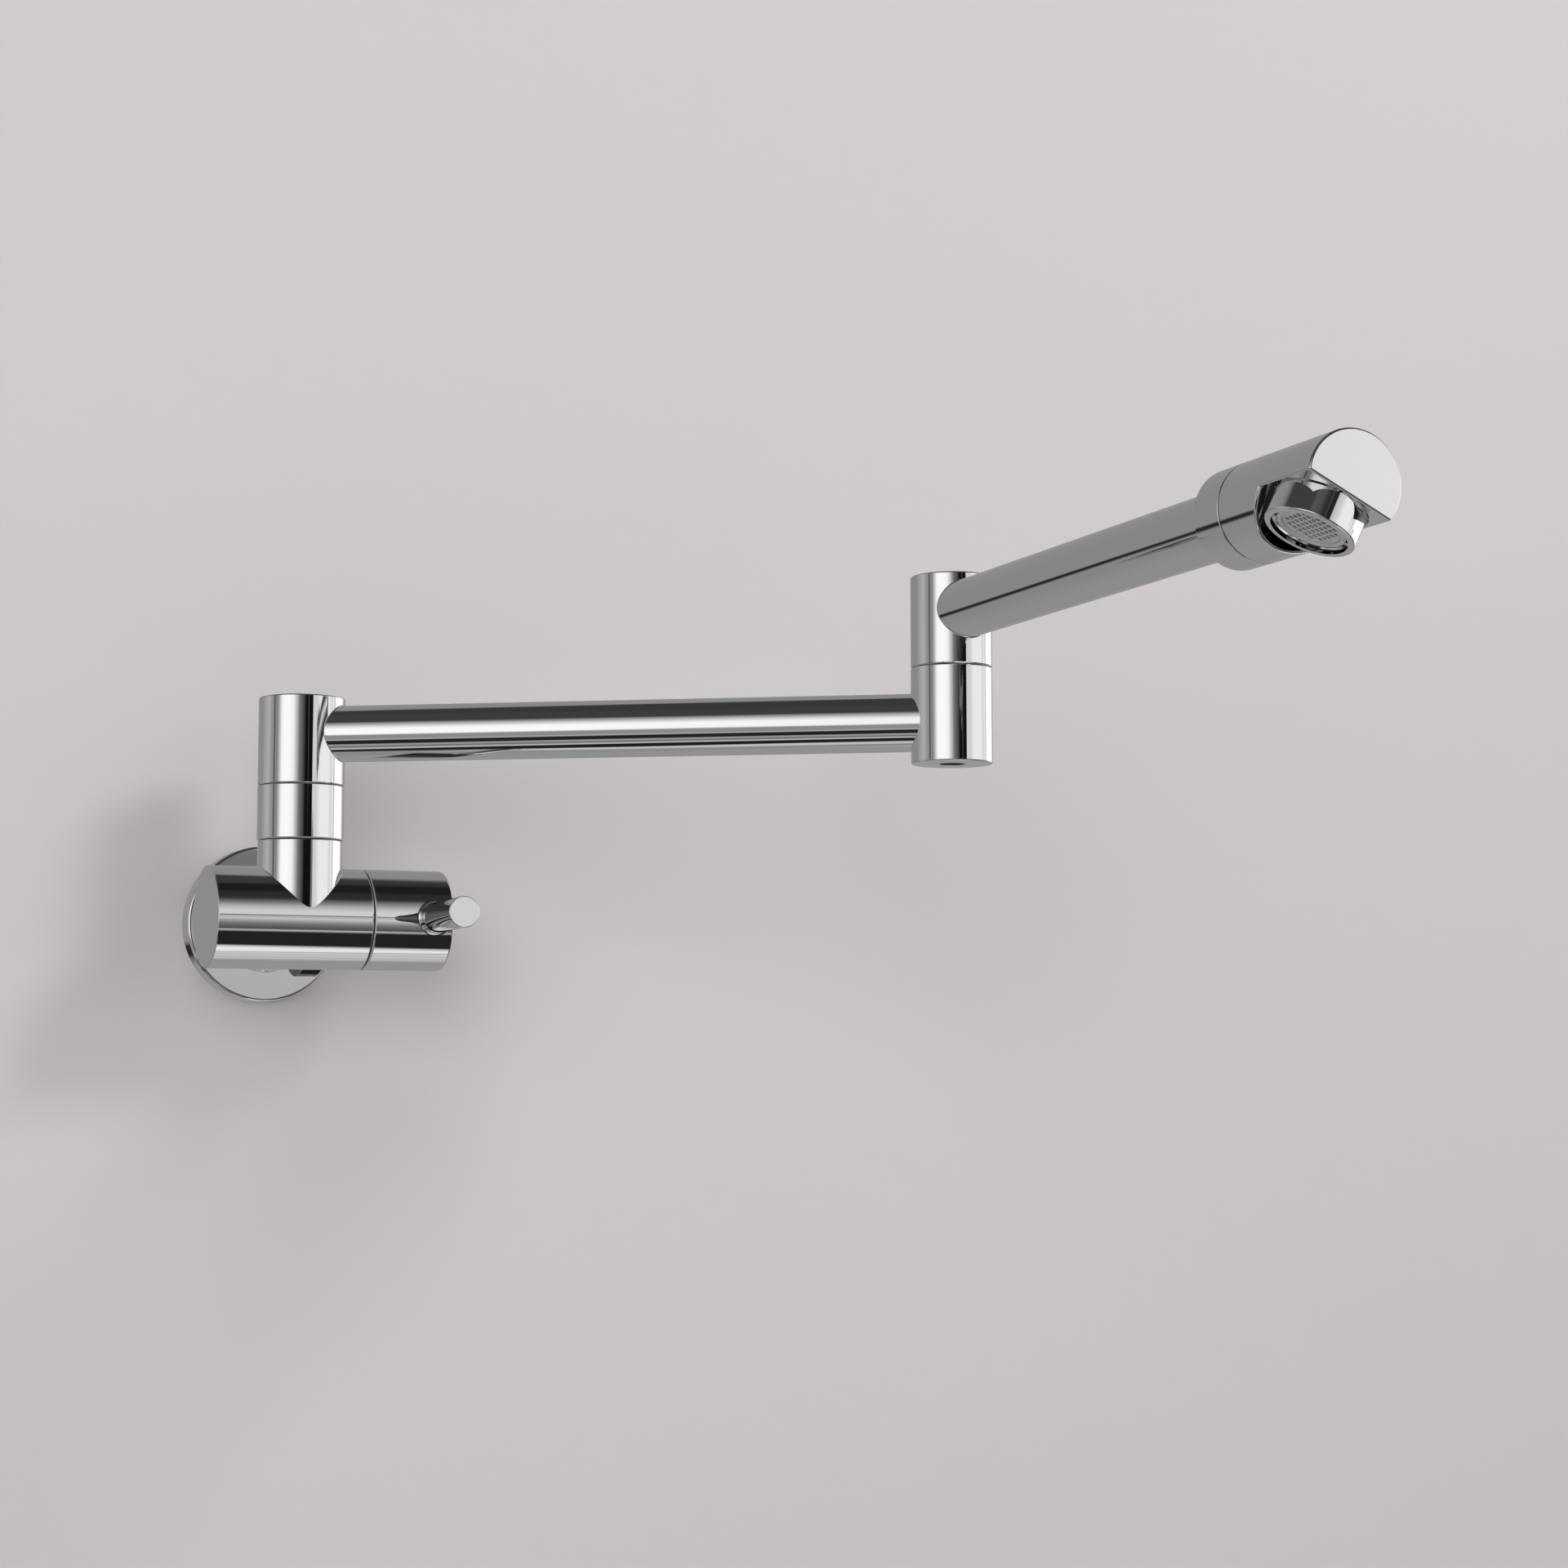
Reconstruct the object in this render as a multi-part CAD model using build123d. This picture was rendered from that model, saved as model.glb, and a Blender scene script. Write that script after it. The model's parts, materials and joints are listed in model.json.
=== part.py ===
from build123d import *
import os

# Wall mounted pot filler: a quarter-turn valve on a wall flange, two swinging arms and a swivel spout head.
# Millimetres. The origin is on the wall face, on the inlet's axis. +Y goes into the wall and +Z is up.
# Turned pieces are drawn as (radius, height) outlines along +Z, then laid along the axis they work on.

# ---- wall side and body ----
BODY_RADIUS = 20.0
BODY_LEFT = -36.25          # left end, from the post's axis
HANDLE_SEAM = 25.75         # middle of the gap between body and handle
HANDLE_RIGHT = 58.5
HANDLE_GAP = 0.8
BODY_ROUND = 0.5            # rounding of the body's ends
HANDLE_ROUND = 1.3          # rounding of the handle's outer end
BODY_REACH = 56.3           # from the wall to the body's axis
NECK_RADIUS = 19.5
NECK_BACK = -5.0            # the neck ends just short of the wall
FLANGE_RADIUS = 31.6
FLANGE_DEPTH = 9.5
INLET_THREAD_RADIUS = 10.48  # G1/2
INLET_THREAD_TAIL = 14.0    # thread that goes into the wall fitting
NIPPLE_RADIUS = 12.0        # stub that the neck slides over
NIPPLE_FRONT = -29.0
WATERWAY = 6.0

# ---- lever ----
LEVER_X = 50.5
LEVER_RADIUS = 6.1
LEVER_REACH = 54.1          # from the body's axis to the lever's tip
LEVER_RISE = 1.3            # degrees above level when the valve is open
LEVER_FILLET = 1.6
LEVER_TIP = 0.35            # rounding of the lever's tip

# ---- post and elbow ----
STUB_RADIUS = 16.5          # post stub of the body casting
POST_RADIUS = 16.85         # sleeve and hub above it
POST_OFFSET = 3.2           # the post stands this far in front of the body's axis
STUB_TOP = 30.1
GASKET_GAP = 0.5            # between stub and sleeve
SLEEVE_TOP = 51.6
POST_TOP = 86.6
ARM_1_HEIGHT = 72.2
ELBOW_RADIUS = 15.5
ELBOW_BOTTOM = 56.2
ELBOW_SEAM = 92.85
ELBOW_TOP = 127.8
ARM_2_HEIGHT = 113.9
TURN_GAP = 0.45             # gap at a seam that turns
EDGE_BREAK = 0.3
HUB_ROUND = 0.6             # rounding of a hub's closed end

# ---- arms and spout head ----
ARM_PITCH = 257.0           # post to elbow, and elbow to aerator
ARM_1_ANGLE = -34.6         # degrees out from the wall
FOLD_ANGLE = -58.35         # second arm against the first
TUBE_RADIUS = 11.1          # 22.2 mm tube
TUBE_WALL = 1.5
HEAD_RADIUS = 16.25
COLLAR_START = 206.9
HEAD_SEAM = 221.5
HEAD_END = 272.5
HEAD_ROUND = 0.8            # rounding of the milled edges and the front rim
HEAD_ROLL = -26.0           # spout head turned about the arm
FLAT_DEPTH = 4.75           # milled flat, below the head's axis
POCKET_RADIUS = 18.7
AERATOR_RADIUS = 14.25
AERATOR_DROP = 10.0
AERATOR_THREAD = 12.0       # M24
AERATOR_CLOCKING = 30.0     # where the aerator's wrench flats came to rest

# ---- fits and seals ----
SLIP = 0.05                 # radial clearance of running and threaded fits
PLAY = 0.05                 # gap between parts stacked along an axis
JOURNAL = 9.0
SPIGOT = 3.5
CORD = 0.9                  # O-ring cord radius
SLOT = 2.3                  # O-ring groove width
ACCESS_HOLE = 5.0           # reaches the retaining screw
UNION_THREAD = 10.45
SHOULDER = 13.5             # spindle shoulder
WASHER = 1.0                # slide washer's thickness
WASHER_STEP = 1.2           # how far a slide washer lies inside its seam
WASHER_PLAY = 0.3
RECESS = 0.8                # depth of the recess over a slide washer
SCREW = 2.0                 # M4 shank radius
SCREW_HEAD = 3.5
SCREW_KEY = 2.5
KEY_DEPTH = 1.8
SEAL_BORE = 6.2             # bore of the base seals

BODY_END = HANDLE_SEAM - HANDLE_GAP / 2
HANDLE_START = HANDLE_SEAM + HANDLE_GAP / 2

body_frame = Pos(0, -BODY_REACH, 0)
post_frame = Pos(0, -BODY_REACH - POST_OFFSET, 0)
arm_1_frame = post_frame * Rot(0, 0, ARM_1_ANGLE)
elbow_frame = arm_1_frame * Pos(ARM_PITCH, 0, 0)
arm_2_frame = elbow_frame * Rot(0, 0, FOLD_ANGLE)
head_frame = arm_2_frame * Pos(0, 0, ARM_2_HEIGHT) * Rot(HEAD_ROLL, 0, 0)
handle_frame = body_frame * Rot(-LEVER_RISE, 0, 0)
aerator_frame = head_frame * Pos(ARM_PITCH, 0, -FLAT_DEPTH)


# Rod between two heights.
def rod(radius, low, high):
    return Pos(0, 0, low) * Cylinder(radius, high - low, align=(Align.CENTER, Align.CENTER, Align.MIN))


# Ring between two heights.
def ring(outer, inner, low, high):
    return rod(outer, low, high) - rod(inner, low - 1, high + 1)


# Solid of revolution about Z from (radius, height) corners.
def turned(*corners):
    outline = Polyline(*[(radius, 0, height) for radius, height in corners], close=True)
    return revolve(make_face(outline), Axis.Z)


# O-ring whose outside is flush with a shaft of the radius given.
def o_ring(shaft, height):
    return Pos(0, 0, height) * Torus(shaft - CORD, CORD)


# Groove that such an O-ring sits in.
def o_groove(shaft, height):
    return ring(shaft + 1, shaft - 2 * CORD - SLIP, height - SLOT / 2, height + SLOT / 2)


# Shapes drawn along Z, laid along +X or +Y.
def along_x(shape):
    return Rot(0, 90, 0) * shape


def along_y(shape):
    return Rot(-90, 0, 0) * shape


# Circular edges of one radius, ranked along an axis: first and last group.
def rims(shape, radius, axis):
    circles = shape.edges().filter_by(GeomType.CIRCLE)
    ranked = circles.filter_by(lambda edge: abs(edge.radius - radius) < 0.01).group_by(axis)
    return ranked[0], ranked[-1]


# Hexagon across flats, as a prism between two heights.
def hexagon(across, low, high):
    return Pos(0, 0, low) * extrude(RegularPolygon(across / 2, 6, major_radius=False), high - low)


# Headless screw with its hexagon socket at the high end.
def grub_screw(radius, low, high, key):
    screw = rod(radius, low, high) - hexagon(key, high - KEY_DEPTH, high + 1)
    return chamfer(rims(screw, radius, Axis.Z)[0], EDGE_BREAK)


# Low-head screw pointing down, its head's underside at the height given.
def cap_screw(under_head, head, depth):
    top = under_head + head
    body = rod(SCREW, under_head - depth, top) + rod(SCREW_HEAD, under_head, top)
    body -= hexagon(SCREW_KEY, top - KEY_DEPTH, top + 1)
    return fillet(rims(body, SCREW_HEAD, Axis.Z)[1], EDGE_BREAK)


# ---------------------------------------------------------------- wall side

FLANGE_BORE = NECK_RADIUS + 0.15
FLANGE_SLOT = -5.8          # O-ring groove inside the flange's boss
NECK_SCREW_Y = -15.0        # set screw under the neck
NIPPLE_RINGS = (-20.0, -26.0)
RING_CORD = 0.8             # cord radius of the flange's O-ring
HEX_BACK = -5.5             # the nipple's hexagon
HEX_FRONT = -10.5
HEX_WIDTH = 26.0
GRUB = 2.5                  # radius of the M5 set screws
GRUB_KEY = 2.5
GRUB_TRACK = 1.2            # depth of the groove that a set screw runs in


# Cup that covers the hole in the wall, its face towards the room.
def wall_flange():
    wall = 2.0
    web = 2.5
    boss = FLANGE_BORE + 3.6
    boss_back = -3.6
    edge = 1.2
    cup = turned(
        (FLANGE_BORE, -FLANGE_DEPTH),
        (FLANGE_RADIUS, -FLANGE_DEPTH),
        (FLANGE_RADIUS, 0),
        (FLANGE_RADIUS - wall, 0),
        (FLANGE_RADIUS - wall, web - FLANGE_DEPTH),
        (boss, web - FLANGE_DEPTH),
        (boss, boss_back),
        (FLANGE_BORE, boss_back),
    )
    cup = fillet(rims(cup, FLANGE_RADIUS, Axis.Z)[0], edge)
    slot_floor = NECK_RADIUS + 2 * RING_CORD + 5 * SLIP
    slot = ring(slot_floor, FLANGE_BORE - 1, FLANGE_SLOT - SLOT / 2, FLANGE_SLOT + SLOT / 2)
    return along_y(cup - slot)


# O-ring in the flange's boss, lying on the neck.
def flange_o_ring():
    return along_y(Pos(0, 0, FLANGE_SLOT) * Torus(NECK_RADIUS + SLIP + RING_CORD, RING_CORD))


# Brass nipple: thread into the wall, hexagon, and the stub that the neck slides over.
def inlet_nipple():
    stub = rod(NIPPLE_RADIUS, NIPPLE_FRONT, HEX_FRONT)
    lead_in = 0.9
    stub = chamfer(rims(stub, NIPPLE_RADIUS, Axis.Z)[0], lead_in)
    thread = rod(INLET_THREAD_RADIUS, HEX_BACK, INLET_THREAD_TAIL)
    thread = chamfer(rims(thread, INLET_THREAD_RADIUS, Axis.Z)[1], lead_in)
    nipple = stub + hexagon(HEX_WIDTH, HEX_FRONT, HEX_BACK) + thread
    for height in NIPPLE_RINGS:
        nipple -= o_groove(NIPPLE_RADIUS, height)
    track = (NECK_SCREW_Y - GRUB - EDGE_BREAK, NECK_SCREW_Y + GRUB + EDGE_BREAK)
    nipple -= ring(NIPPLE_RADIUS + 1, NIPPLE_RADIUS - GRUB_TRACK, *track)
    return along_y(nipple - rod(WATERWAY, NIPPLE_FRONT - 1, INLET_THREAD_TAIL + 1))


def inlet_o_rings():
    return [along_y(o_ring(NIPPLE_RADIUS, height)) for height in NIPPLE_RINGS]


# Grub screw up through the underside of the neck, into the nipple's groove.
def neck_set_screw():
    sunk = 0.6
    screw = grub_screw(GRUB, NIPPLE_RADIUS - GRUB_TRACK + 4 * PLAY, NECK_RADIUS - sunk, GRUB_KEY)
    return Pos(0, NECK_SCREW_Y, 0) * Rot(180, 0, 0) * screw


# ---------------------------------------------------------------- valve body

CHAMBER_LEFT = -10.0        # seat of the cartridge
CHAMBER = 12.0
INLET_POCKET = 7.0
POCKET_LEFT = -28.0
STUB_SOCKET = 15.0          # floor of the thread in the post's stub
STUB_WAY = 5.0
NECK_COUNTERBORE = 16.0     # clears the nipple's hexagon
INLET_DRILL = 4.0           # slanting bore from the neck to the inlet pocket
DRILL_START = (-7.0, NIPPLE_FRONT + 3, 0)
DRILL_END = (-21.0, -BODY_REACH, 0)


# Casting: body, neck and post stub in one, with its waterways bored.
def valve_body():
    barrel = along_x(rod(BODY_RADIUS, BODY_LEFT, BODY_END))
    left, right = rims(barrel, BODY_RADIUS, Axis.X)
    barrel = fillet(left + right, BODY_ROUND)
    stub = Pos(0, -POST_OFFSET, 0) * rod(STUB_RADIUS, 0, STUB_TOP)
    stub = chamfer(rims(stub, STUB_RADIUS, Axis.Z)[1], EDGE_BREAK)
    neck = along_y(rod(NECK_RADIUS, 0, BODY_REACH + NECK_BACK))
    body = barrel + stub + neck
    body -= along_x(rod(CHAMBER, CHAMBER_LEFT, BODY_END + 1))
    body -= along_x(rod(INLET_POCKET, POCKET_LEFT, CHAMBER_LEFT + 1))
    body -= Pos(0, -POST_OFFSET, 0) * rod(STUB_WAY, 0, STUB_SOCKET + 1)
    body -= Pos(0, -POST_OFFSET, 0) * rod(UNION_THREAD + SLIP, STUB_SOCKET, STUB_TOP + 1)
    body = body_frame * body
    body -= along_y(rod(NIPPLE_RADIUS + SLIP, NIPPLE_FRONT - 1, NECK_BACK + 1))
    body -= along_y(rod(NECK_COUNTERBORE, HEX_FRONT - 1, NECK_BACK + 1))
    inlet_drill = Line(DRILL_START, DRILL_END)
    body -= sweep(Plane(inlet_drill @ 0, z_dir=inlet_drill % 0) * Circle(INLET_DRILL), inlet_drill)
    return body - Pos(0, NECK_SCREW_Y, -NECK_RADIUS - 1) * rod(GRUB + SLIP, 0, NECK_RADIUS - 8)


# ---------------------------------------------------------------- cartridge, along the body's axis

DISC_RADIUS = 8.0
SEAT_SEAL = (CHAMBER_LEFT + PLAY, -8.0)
FIXED_DISC = (-7.95, -4.95)
MOVING_DISC = (-4.9, -1.9)
PORT = 2.6                  # radius of the discs' two ports
PORT_OUT = 4.6              # from the axis to a port
TENON = (12.0, 3.0)         # of the stem, in the moving disc's slot
SLOT_FLOOR = 1.2            # depth of that slot
STEM_RADIUS = 4.0
STEM_END = 52.0
STEM_RINGS = (27.0, 31.0)
HOUSING_NOSE = 9.6          # radius inside the valve chamber
HOUSING_NECK = 9.0          # radius round the stem
HOUSING_FLANGE = 29.0       # outer face of the hexagon
HOUSING_HEX = 25.0
HOUSING_END = 36.0
HOUSING_RING = 10.4
CLIP_X = HOUSING_END + 0.4
CLIP_TRACK = 0.6            # depth of the circlip's groove
CLIP_WIDTH = 0.9


# Threaded brass housing with side windows for the outlet.
def cartridge_housing():
    bore = DISC_RADIUS + SLIP
    back = FIXED_DISC[0] + PLAY
    thread_start = 8.0
    floor = 4.0
    housing = turned(
        (bore, back),
        (HOUSING_NOSE, back),
        (HOUSING_NOSE, thread_start),
        (CHAMBER - SLIP, thread_start),
        (CHAMBER - SLIP, HOUSING_FLANGE),
        (HOUSING_NECK, HOUSING_FLANGE),
        (HOUSING_NECK, HOUSING_END),
        (STEM_RADIUS + SLIP, HOUSING_END),
        (STEM_RADIUS + SLIP, floor),
        (bore, floor),
    )
    flange = hexagon(HOUSING_HEX, BODY_END + PLAY, HOUSING_FLANGE)
    housing += flange - rod(CHAMBER - 1, 0, HOUSING_FLANGE + 1)
    housing -= o_groove(CHAMBER - SLIP, HOUSING_RING)
    window = Pos(0, 0, 1.2) * Box(3 * CHAMBER, 7, 4.4)
    return along_x(housing - window - Rot(0, 0, 90) * window)


# Seal between the housing's nose and the seat.
def seat_seal():
    bore = 5.5
    return along_x(ring(DISC_RADIUS + 1, bore, *SEAT_SEAL))


# Two round ports, opposite each other, through a ceramic disc.
def disc_ports(low, high):
    return [Pos(0, side * PORT_OUT, 0) * rod(PORT, low - 1, high + 1) for side in (-1, 1)]


def fixed_disc():
    low, high = FIXED_DISC
    disc = rod(DISC_RADIUS, low, high)
    for port in disc_ports(low, high):
        disc -= port
    return along_x(disc)


# Disc that turns with the stem. A tenon on the stem fits its slot.
def moving_disc():
    low, high = MOVING_DISC
    disc = rod(DISC_RADIUS, low, high)
    for port in disc_ports(low, high):
        disc -= port
    length, width = TENON
    return along_x(disc - Pos(0, 0, high) * Box(length + 4 * SLIP, width + 2 * SLIP, 2 * SLOT_FLOOR))


# Stem with tenon, grooves and splined end.
def cartridge_stem():
    low = MOVING_DISC[1] + PLAY
    foot_top = 3.9
    channel = (4.4, 2 * DISC_RADIUS + 1, 6.3)
    splines = 20
    spline = (0.7, 0.6, 12.0)
    stem = rod(STEM_RADIUS, 2.0, STEM_END) + rod(DISC_RADIUS - 0.3, low, foot_top)
    stem -= Pos(0, 0, low) * Box(*channel)
    stem += Pos(0, 0, low) * Box(*TENON, 2 * SLOT_FLOOR - 2 * PLAY)
    for height in STEM_RINGS:
        stem -= o_groove(STEM_RADIUS, height)
    stem -= ring(STEM_RADIUS + 1, STEM_RADIUS - CLIP_TRACK, CLIP_X - PLAY, CLIP_X + CLIP_WIDTH + PLAY)
    groove = Pos(STEM_RADIUS, 0, STEM_END - spline[2] / 2 + 1) * Box(*spline)
    for index in range(splines):
        stem -= Rot(0, 0, index * 360 / splines) * groove
    return along_x(stem)


def stem_o_rings():
    return [along_x(o_ring(STEM_RADIUS, height)) for height in STEM_RINGS]


# Open circlip in the stem's groove, against the housing's nose.
def stem_clip():
    outside = 6.2
    mouth = 3.2
    clip = ring(outside, STEM_RADIUS - CLIP_TRACK + SLIP, CLIP_X, CLIP_X + CLIP_WIDTH)
    return along_x(clip - Pos(outside - 1, 0, CLIP_X) * Box(outside, mouth, 4 * CLIP_WIDTH))


def cartridge_o_ring():
    return along_x(o_ring(CHAMBER - SLIP, HOUSING_RING))


# ---------------------------------------------------------------- handle

HUB_CAVITY = 16.5
BOSS_X = 38.5
INSERT_RADIUS = 7.0
INSERT_END = STEM_END + 1.4
GRUB_X = 46.0


# Handle cap with its round lever, hollow over the cartridge's nose.
def handle():
    hub = along_x(rod(BODY_RADIUS, HANDLE_START, HANDLE_RIGHT))
    left, right = rims(hub, BODY_RADIUS, Axis.X)
    hub = fillet(left, BODY_ROUND)
    hub = fillet(rims(hub, BODY_RADIUS, Axis.X)[1], HANDLE_ROUND)
    lever = Pos(LEVER_X, 0, 0) * Rot(90, 0, 0) * rod(LEVER_RADIUS, 0, LEVER_REACH)
    lever = fillet(rims(lever, LEVER_RADIUS, Axis.Y)[0], LEVER_TIP)
    grip = hub + lever
    grip = fillet(new_edges(hub, lever, combined=grip), LEVER_FILLET)
    grip -= along_x(rod(HUB_CAVITY, HANDLE_START - 1, BOSS_X))
    grip -= along_x(rod(INSERT_RADIUS + SLIP, BOSS_X - 1, INSERT_END + 2 * PLAY))
    return grip - Pos(GRUB_X, 0, 0) * along_y(rod(GRUB + SLIP, 0, BODY_RADIUS + 1))


# Plastic insert that takes up the stem's splines.
def handle_insert():
    insert = rod(INSERT_RADIUS, BOSS_X + 2 * PLAY, INSERT_END)
    insert -= rod(STEM_RADIUS + SLIP, BOSS_X - 1, STEM_END + 4 * PLAY)
    return along_x(insert) - Pos(GRUB_X, 0, 0) * along_y(rod(GRUB + 2 * SLIP, 0, BODY_RADIUS))


def handle_set_screw():
    sunk = 1.2
    screw = grub_screw(GRUB, STEM_RADIUS + 2 * PLAY, BODY_RADIUS - sunk, GRUB_KEY)
    return Pos(GRUB_X, 0, 0) * along_y(screw)


# ---------------------------------------------------------------- swivel joints

CROSS_HOLE = 3.6
RELIEF = 1.4                # depth of the water groove round a journal
RELIEF_HALF = 4.6           # half its width
SPINDLE_BORE = 4.2
PASSAGE = 5.0               # hole from the journal into a tube
TUBE_SEAT = 10.7            # a tube's end, from the axis of the hub it enters
SEAL_HEIGHT = 2.0           # of a base seal
SCREW_WASHER = 0.7


# Journal with its water groove and O-ring grooves, from low to high. The spigot end takes the screw.
def journal(low, high, water, rings):
    shaft = rod(JOURNAL, low, high)
    shaft -= ring(JOURNAL + 1, JOURNAL - RELIEF, water - RELIEF_HALF, water + RELIEF_HALF)
    for height in rings:
        shaft -= o_groove(JOURNAL, height)
    return shaft


# Two cross holes that let the water out of a spindle at any angle.
def cross_holes(height):
    drill = Pos(0, 0, height) * along_x(rod(CROSS_HOLE, -JOURNAL - 1, JOURNAL + 1))
    return drill + Rot(0, 0, 90) * drill


# Seat and waterway for a tube that enters a hub along +X or, with side -1, along -X.
def tube_port(height, side):
    seat = rod(TUBE_RADIUS + SLIP, TUBE_SEAT, 40)
    way = rod(PASSAGE, 2, TUBE_SEAT + 1)
    return Pos(0, 0, height) * Rot(0, 90 * side, 0) * (seat + way)


# ---------------------------------------------------------------- post

POST_RING_HEIGHTS = (ARM_1_HEIGHT - 13.5, ARM_1_HEIGHT + 6.3)
POST_WEB = (80.6, 82.6)     # web under the retaining screw
POST_JOURNAL_TOP = POST_WEB[0] - 0.2
POST_HUB_BOTTOM = SLEEVE_TOP + TURN_GAP
POST_SHOULDER = SLEEVE_TOP - 0.2
SHOULDER_DEPTH = 6.0        # the sleeve hangs on this much of the spindle
SCREW_REACH = 7.0           # length of a retaining screw under its head


# Brass spindle screwed into the stub. The post hub turns on its journal.
def post_spindle():
    shoulder_bottom = POST_SHOULDER - SHOULDER_DEPTH
    spindle = rod(UNION_THREAD, STUB_SOCKET + SEAL_HEIGHT + 2 * PLAY, POST_SHOULDER)
    spindle += rod(SHOULDER, shoulder_bottom, POST_SHOULDER)
    spindle += journal(POST_SHOULDER, POST_JOURNAL_TOP, ARM_1_HEIGHT, POST_RING_HEIGHTS)
    spindle += rod(SPIGOT, POST_JOURNAL_TOP - 1, POST_WEB[1] + 2 * PLAY)
    spindle -= rod(SPINDLE_BORE, STUB_SOCKET, ARM_1_HEIGHT + CROSS_HOLE)
    spindle -= cross_holes(ARM_1_HEIGHT)
    return post_frame * (spindle - rod(SCREW + SLIP, ARM_1_HEIGHT, POST_TOP))


# Rubber ring on the floor of the stub's thread.
def post_base_seal():
    low = STUB_SOCKET + PLAY
    return post_frame * ring(UNION_THREAD - EDGE_BREAK, SEAL_BORE, low, low + SEAL_HEIGHT)


# Polished sleeve between the stub and the hub, held by the spindle's shoulder.
def post_sleeve():
    step = POST_SHOULDER - SHOULDER_DEPTH - PLAY
    sleeve = rod(POST_RADIUS, STUB_TOP + GASKET_GAP, SLEEVE_TOP)
    bottom, top = rims(sleeve, POST_RADIUS, Axis.Z)
    sleeve = chamfer(bottom + top, EDGE_BREAK)
    sleeve -= rod(UNION_THREAD + 2 * SLIP, STUB_TOP - 1, SLEEVE_TOP)
    return post_frame * (sleeve - rod(SHOULDER + 2 * SLIP, step, SLEEVE_TOP + 1))


# Thin gasket that shows as the dark line under the sleeve.
def sleeve_gasket():
    rim = STUB_RADIUS - 0.7
    return post_frame * ring(rim, UNION_THREAD + 4 * SLIP, STUB_TOP + PLAY, STUB_TOP + GASKET_GAP - PLAY)


def post_o_rings():
    return [post_frame * o_ring(JOURNAL, height) for height in POST_RING_HEIGHTS]


def post_slide_washer():
    low = SLEEVE_TOP + PLAY
    return post_frame * ring(POST_RADIUS - WASHER_STEP, JOURNAL + 4 * SLIP, low, low + WASHER)


# Hub at the top of the post that carries the first arm.
def post_hub():
    hub = rod(POST_RADIUS, POST_HUB_BOTTOM, POST_TOP)
    hub = fillet(rims(hub, POST_RADIUS, Axis.Z)[1], HUB_ROUND)
    hub = chamfer(rims(hub, POST_RADIUS, Axis.Z)[0], EDGE_BREAK)
    hub -= rod(JOURNAL + SLIP, POST_HUB_BOTTOM - 1, POST_WEB[0])
    hub -= rod(POST_RADIUS - WASHER_STEP + WASHER_PLAY, POST_HUB_BOTTOM - 1, POST_HUB_BOTTOM + RECESS)
    hub -= rod(SPIGOT + SLIP, POST_WEB[0] - 1, POST_TOP)
    hub -= rod(ACCESS_HOLE, POST_WEB[1], POST_TOP + 1)
    return arm_1_frame * (hub - tube_port(ARM_1_HEIGHT, 1))


def post_screw_washer():
    low = POST_WEB[1] + 3 * PLAY
    return post_frame * ring(ACCESS_HOLE - 4 * SLIP, SCREW + 2 * SLIP, low, low + SCREW_WASHER)


def post_screw():
    head = 2.4
    return post_frame * cap_screw(POST_WEB[1] + SCREW_WASHER + 4 * PLAY, head, SCREW_REACH)


# ---------------------------------------------------------------- elbow

ELBOW_RING_HEIGHTS = (ARM_1_HEIGHT - 6.3, ARM_1_HEIGHT + 12.5)
ELBOW_WEB = (60.6, 62.8)
ELBOW_JOURNAL_BOTTOM = ELBOW_WEB[1] + 0.2
LOWER_HUB_TOP = ELBOW_SEAM - TURN_GAP / 2
UPPER_HUB_BOTTOM = ELBOW_SEAM + TURN_GAP / 2
UPPER_THREAD_TOP = 100.8
UPPER_WAY = 7.0             # waterway from the thread up to the second arm


# Hub at the first arm's end, with the access hole seen from below.
def elbow_lower_hub():
    hub = rod(ELBOW_RADIUS, ELBOW_BOTTOM, LOWER_HUB_TOP)
    hub = fillet(rims(hub, ELBOW_RADIUS, Axis.Z)[0], HUB_ROUND)
    hub = chamfer(rims(hub, ELBOW_RADIUS, Axis.Z)[1], EDGE_BREAK)
    hub -= rod(JOURNAL + SLIP, ELBOW_WEB[1], LOWER_HUB_TOP + 1)
    hub -= rod(ELBOW_RADIUS - WASHER_STEP + WASHER_PLAY, LOWER_HUB_TOP - RECESS, LOWER_HUB_TOP + 1)
    hub -= rod(SPIGOT + SLIP, ELBOW_BOTTOM, ELBOW_WEB[1] + 1)
    hub -= rod(ACCESS_HOLE, ELBOW_BOTTOM - 1, ELBOW_WEB[0])
    return elbow_frame * (hub - tube_port(ARM_1_HEIGHT, -1))


# Brass spindle that hangs from the upper hub and turns in the lower one.
def elbow_spindle():
    spindle = rod(UNION_THREAD, UPPER_HUB_BOTTOM + PLAY, UPPER_THREAD_TOP)
    spindle += journal(ELBOW_JOURNAL_BOTTOM, UPPER_HUB_BOTTOM + 2 * PLAY, ARM_1_HEIGHT, ELBOW_RING_HEIGHTS)
    spindle += rod(SPIGOT, ELBOW_WEB[0] - 2 * PLAY, ELBOW_JOURNAL_BOTTOM + 1)
    spindle -= rod(SPINDLE_BORE, ARM_1_HEIGHT - CROSS_HOLE, UPPER_THREAD_TOP + 1)
    spindle -= cross_holes(ARM_1_HEIGHT)
    return arm_2_frame * (spindle - rod(SCREW + SLIP, ELBOW_BOTTOM, ARM_1_HEIGHT))


def elbow_base_seal():
    low = UPPER_THREAD_TOP + PLAY
    return arm_2_frame * ring(UNION_THREAD - EDGE_BREAK, SEAL_BORE, low, low + SEAL_HEIGHT)


def elbow_o_rings():
    return [arm_2_frame * o_ring(JOURNAL, height) for height in ELBOW_RING_HEIGHTS]


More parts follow.
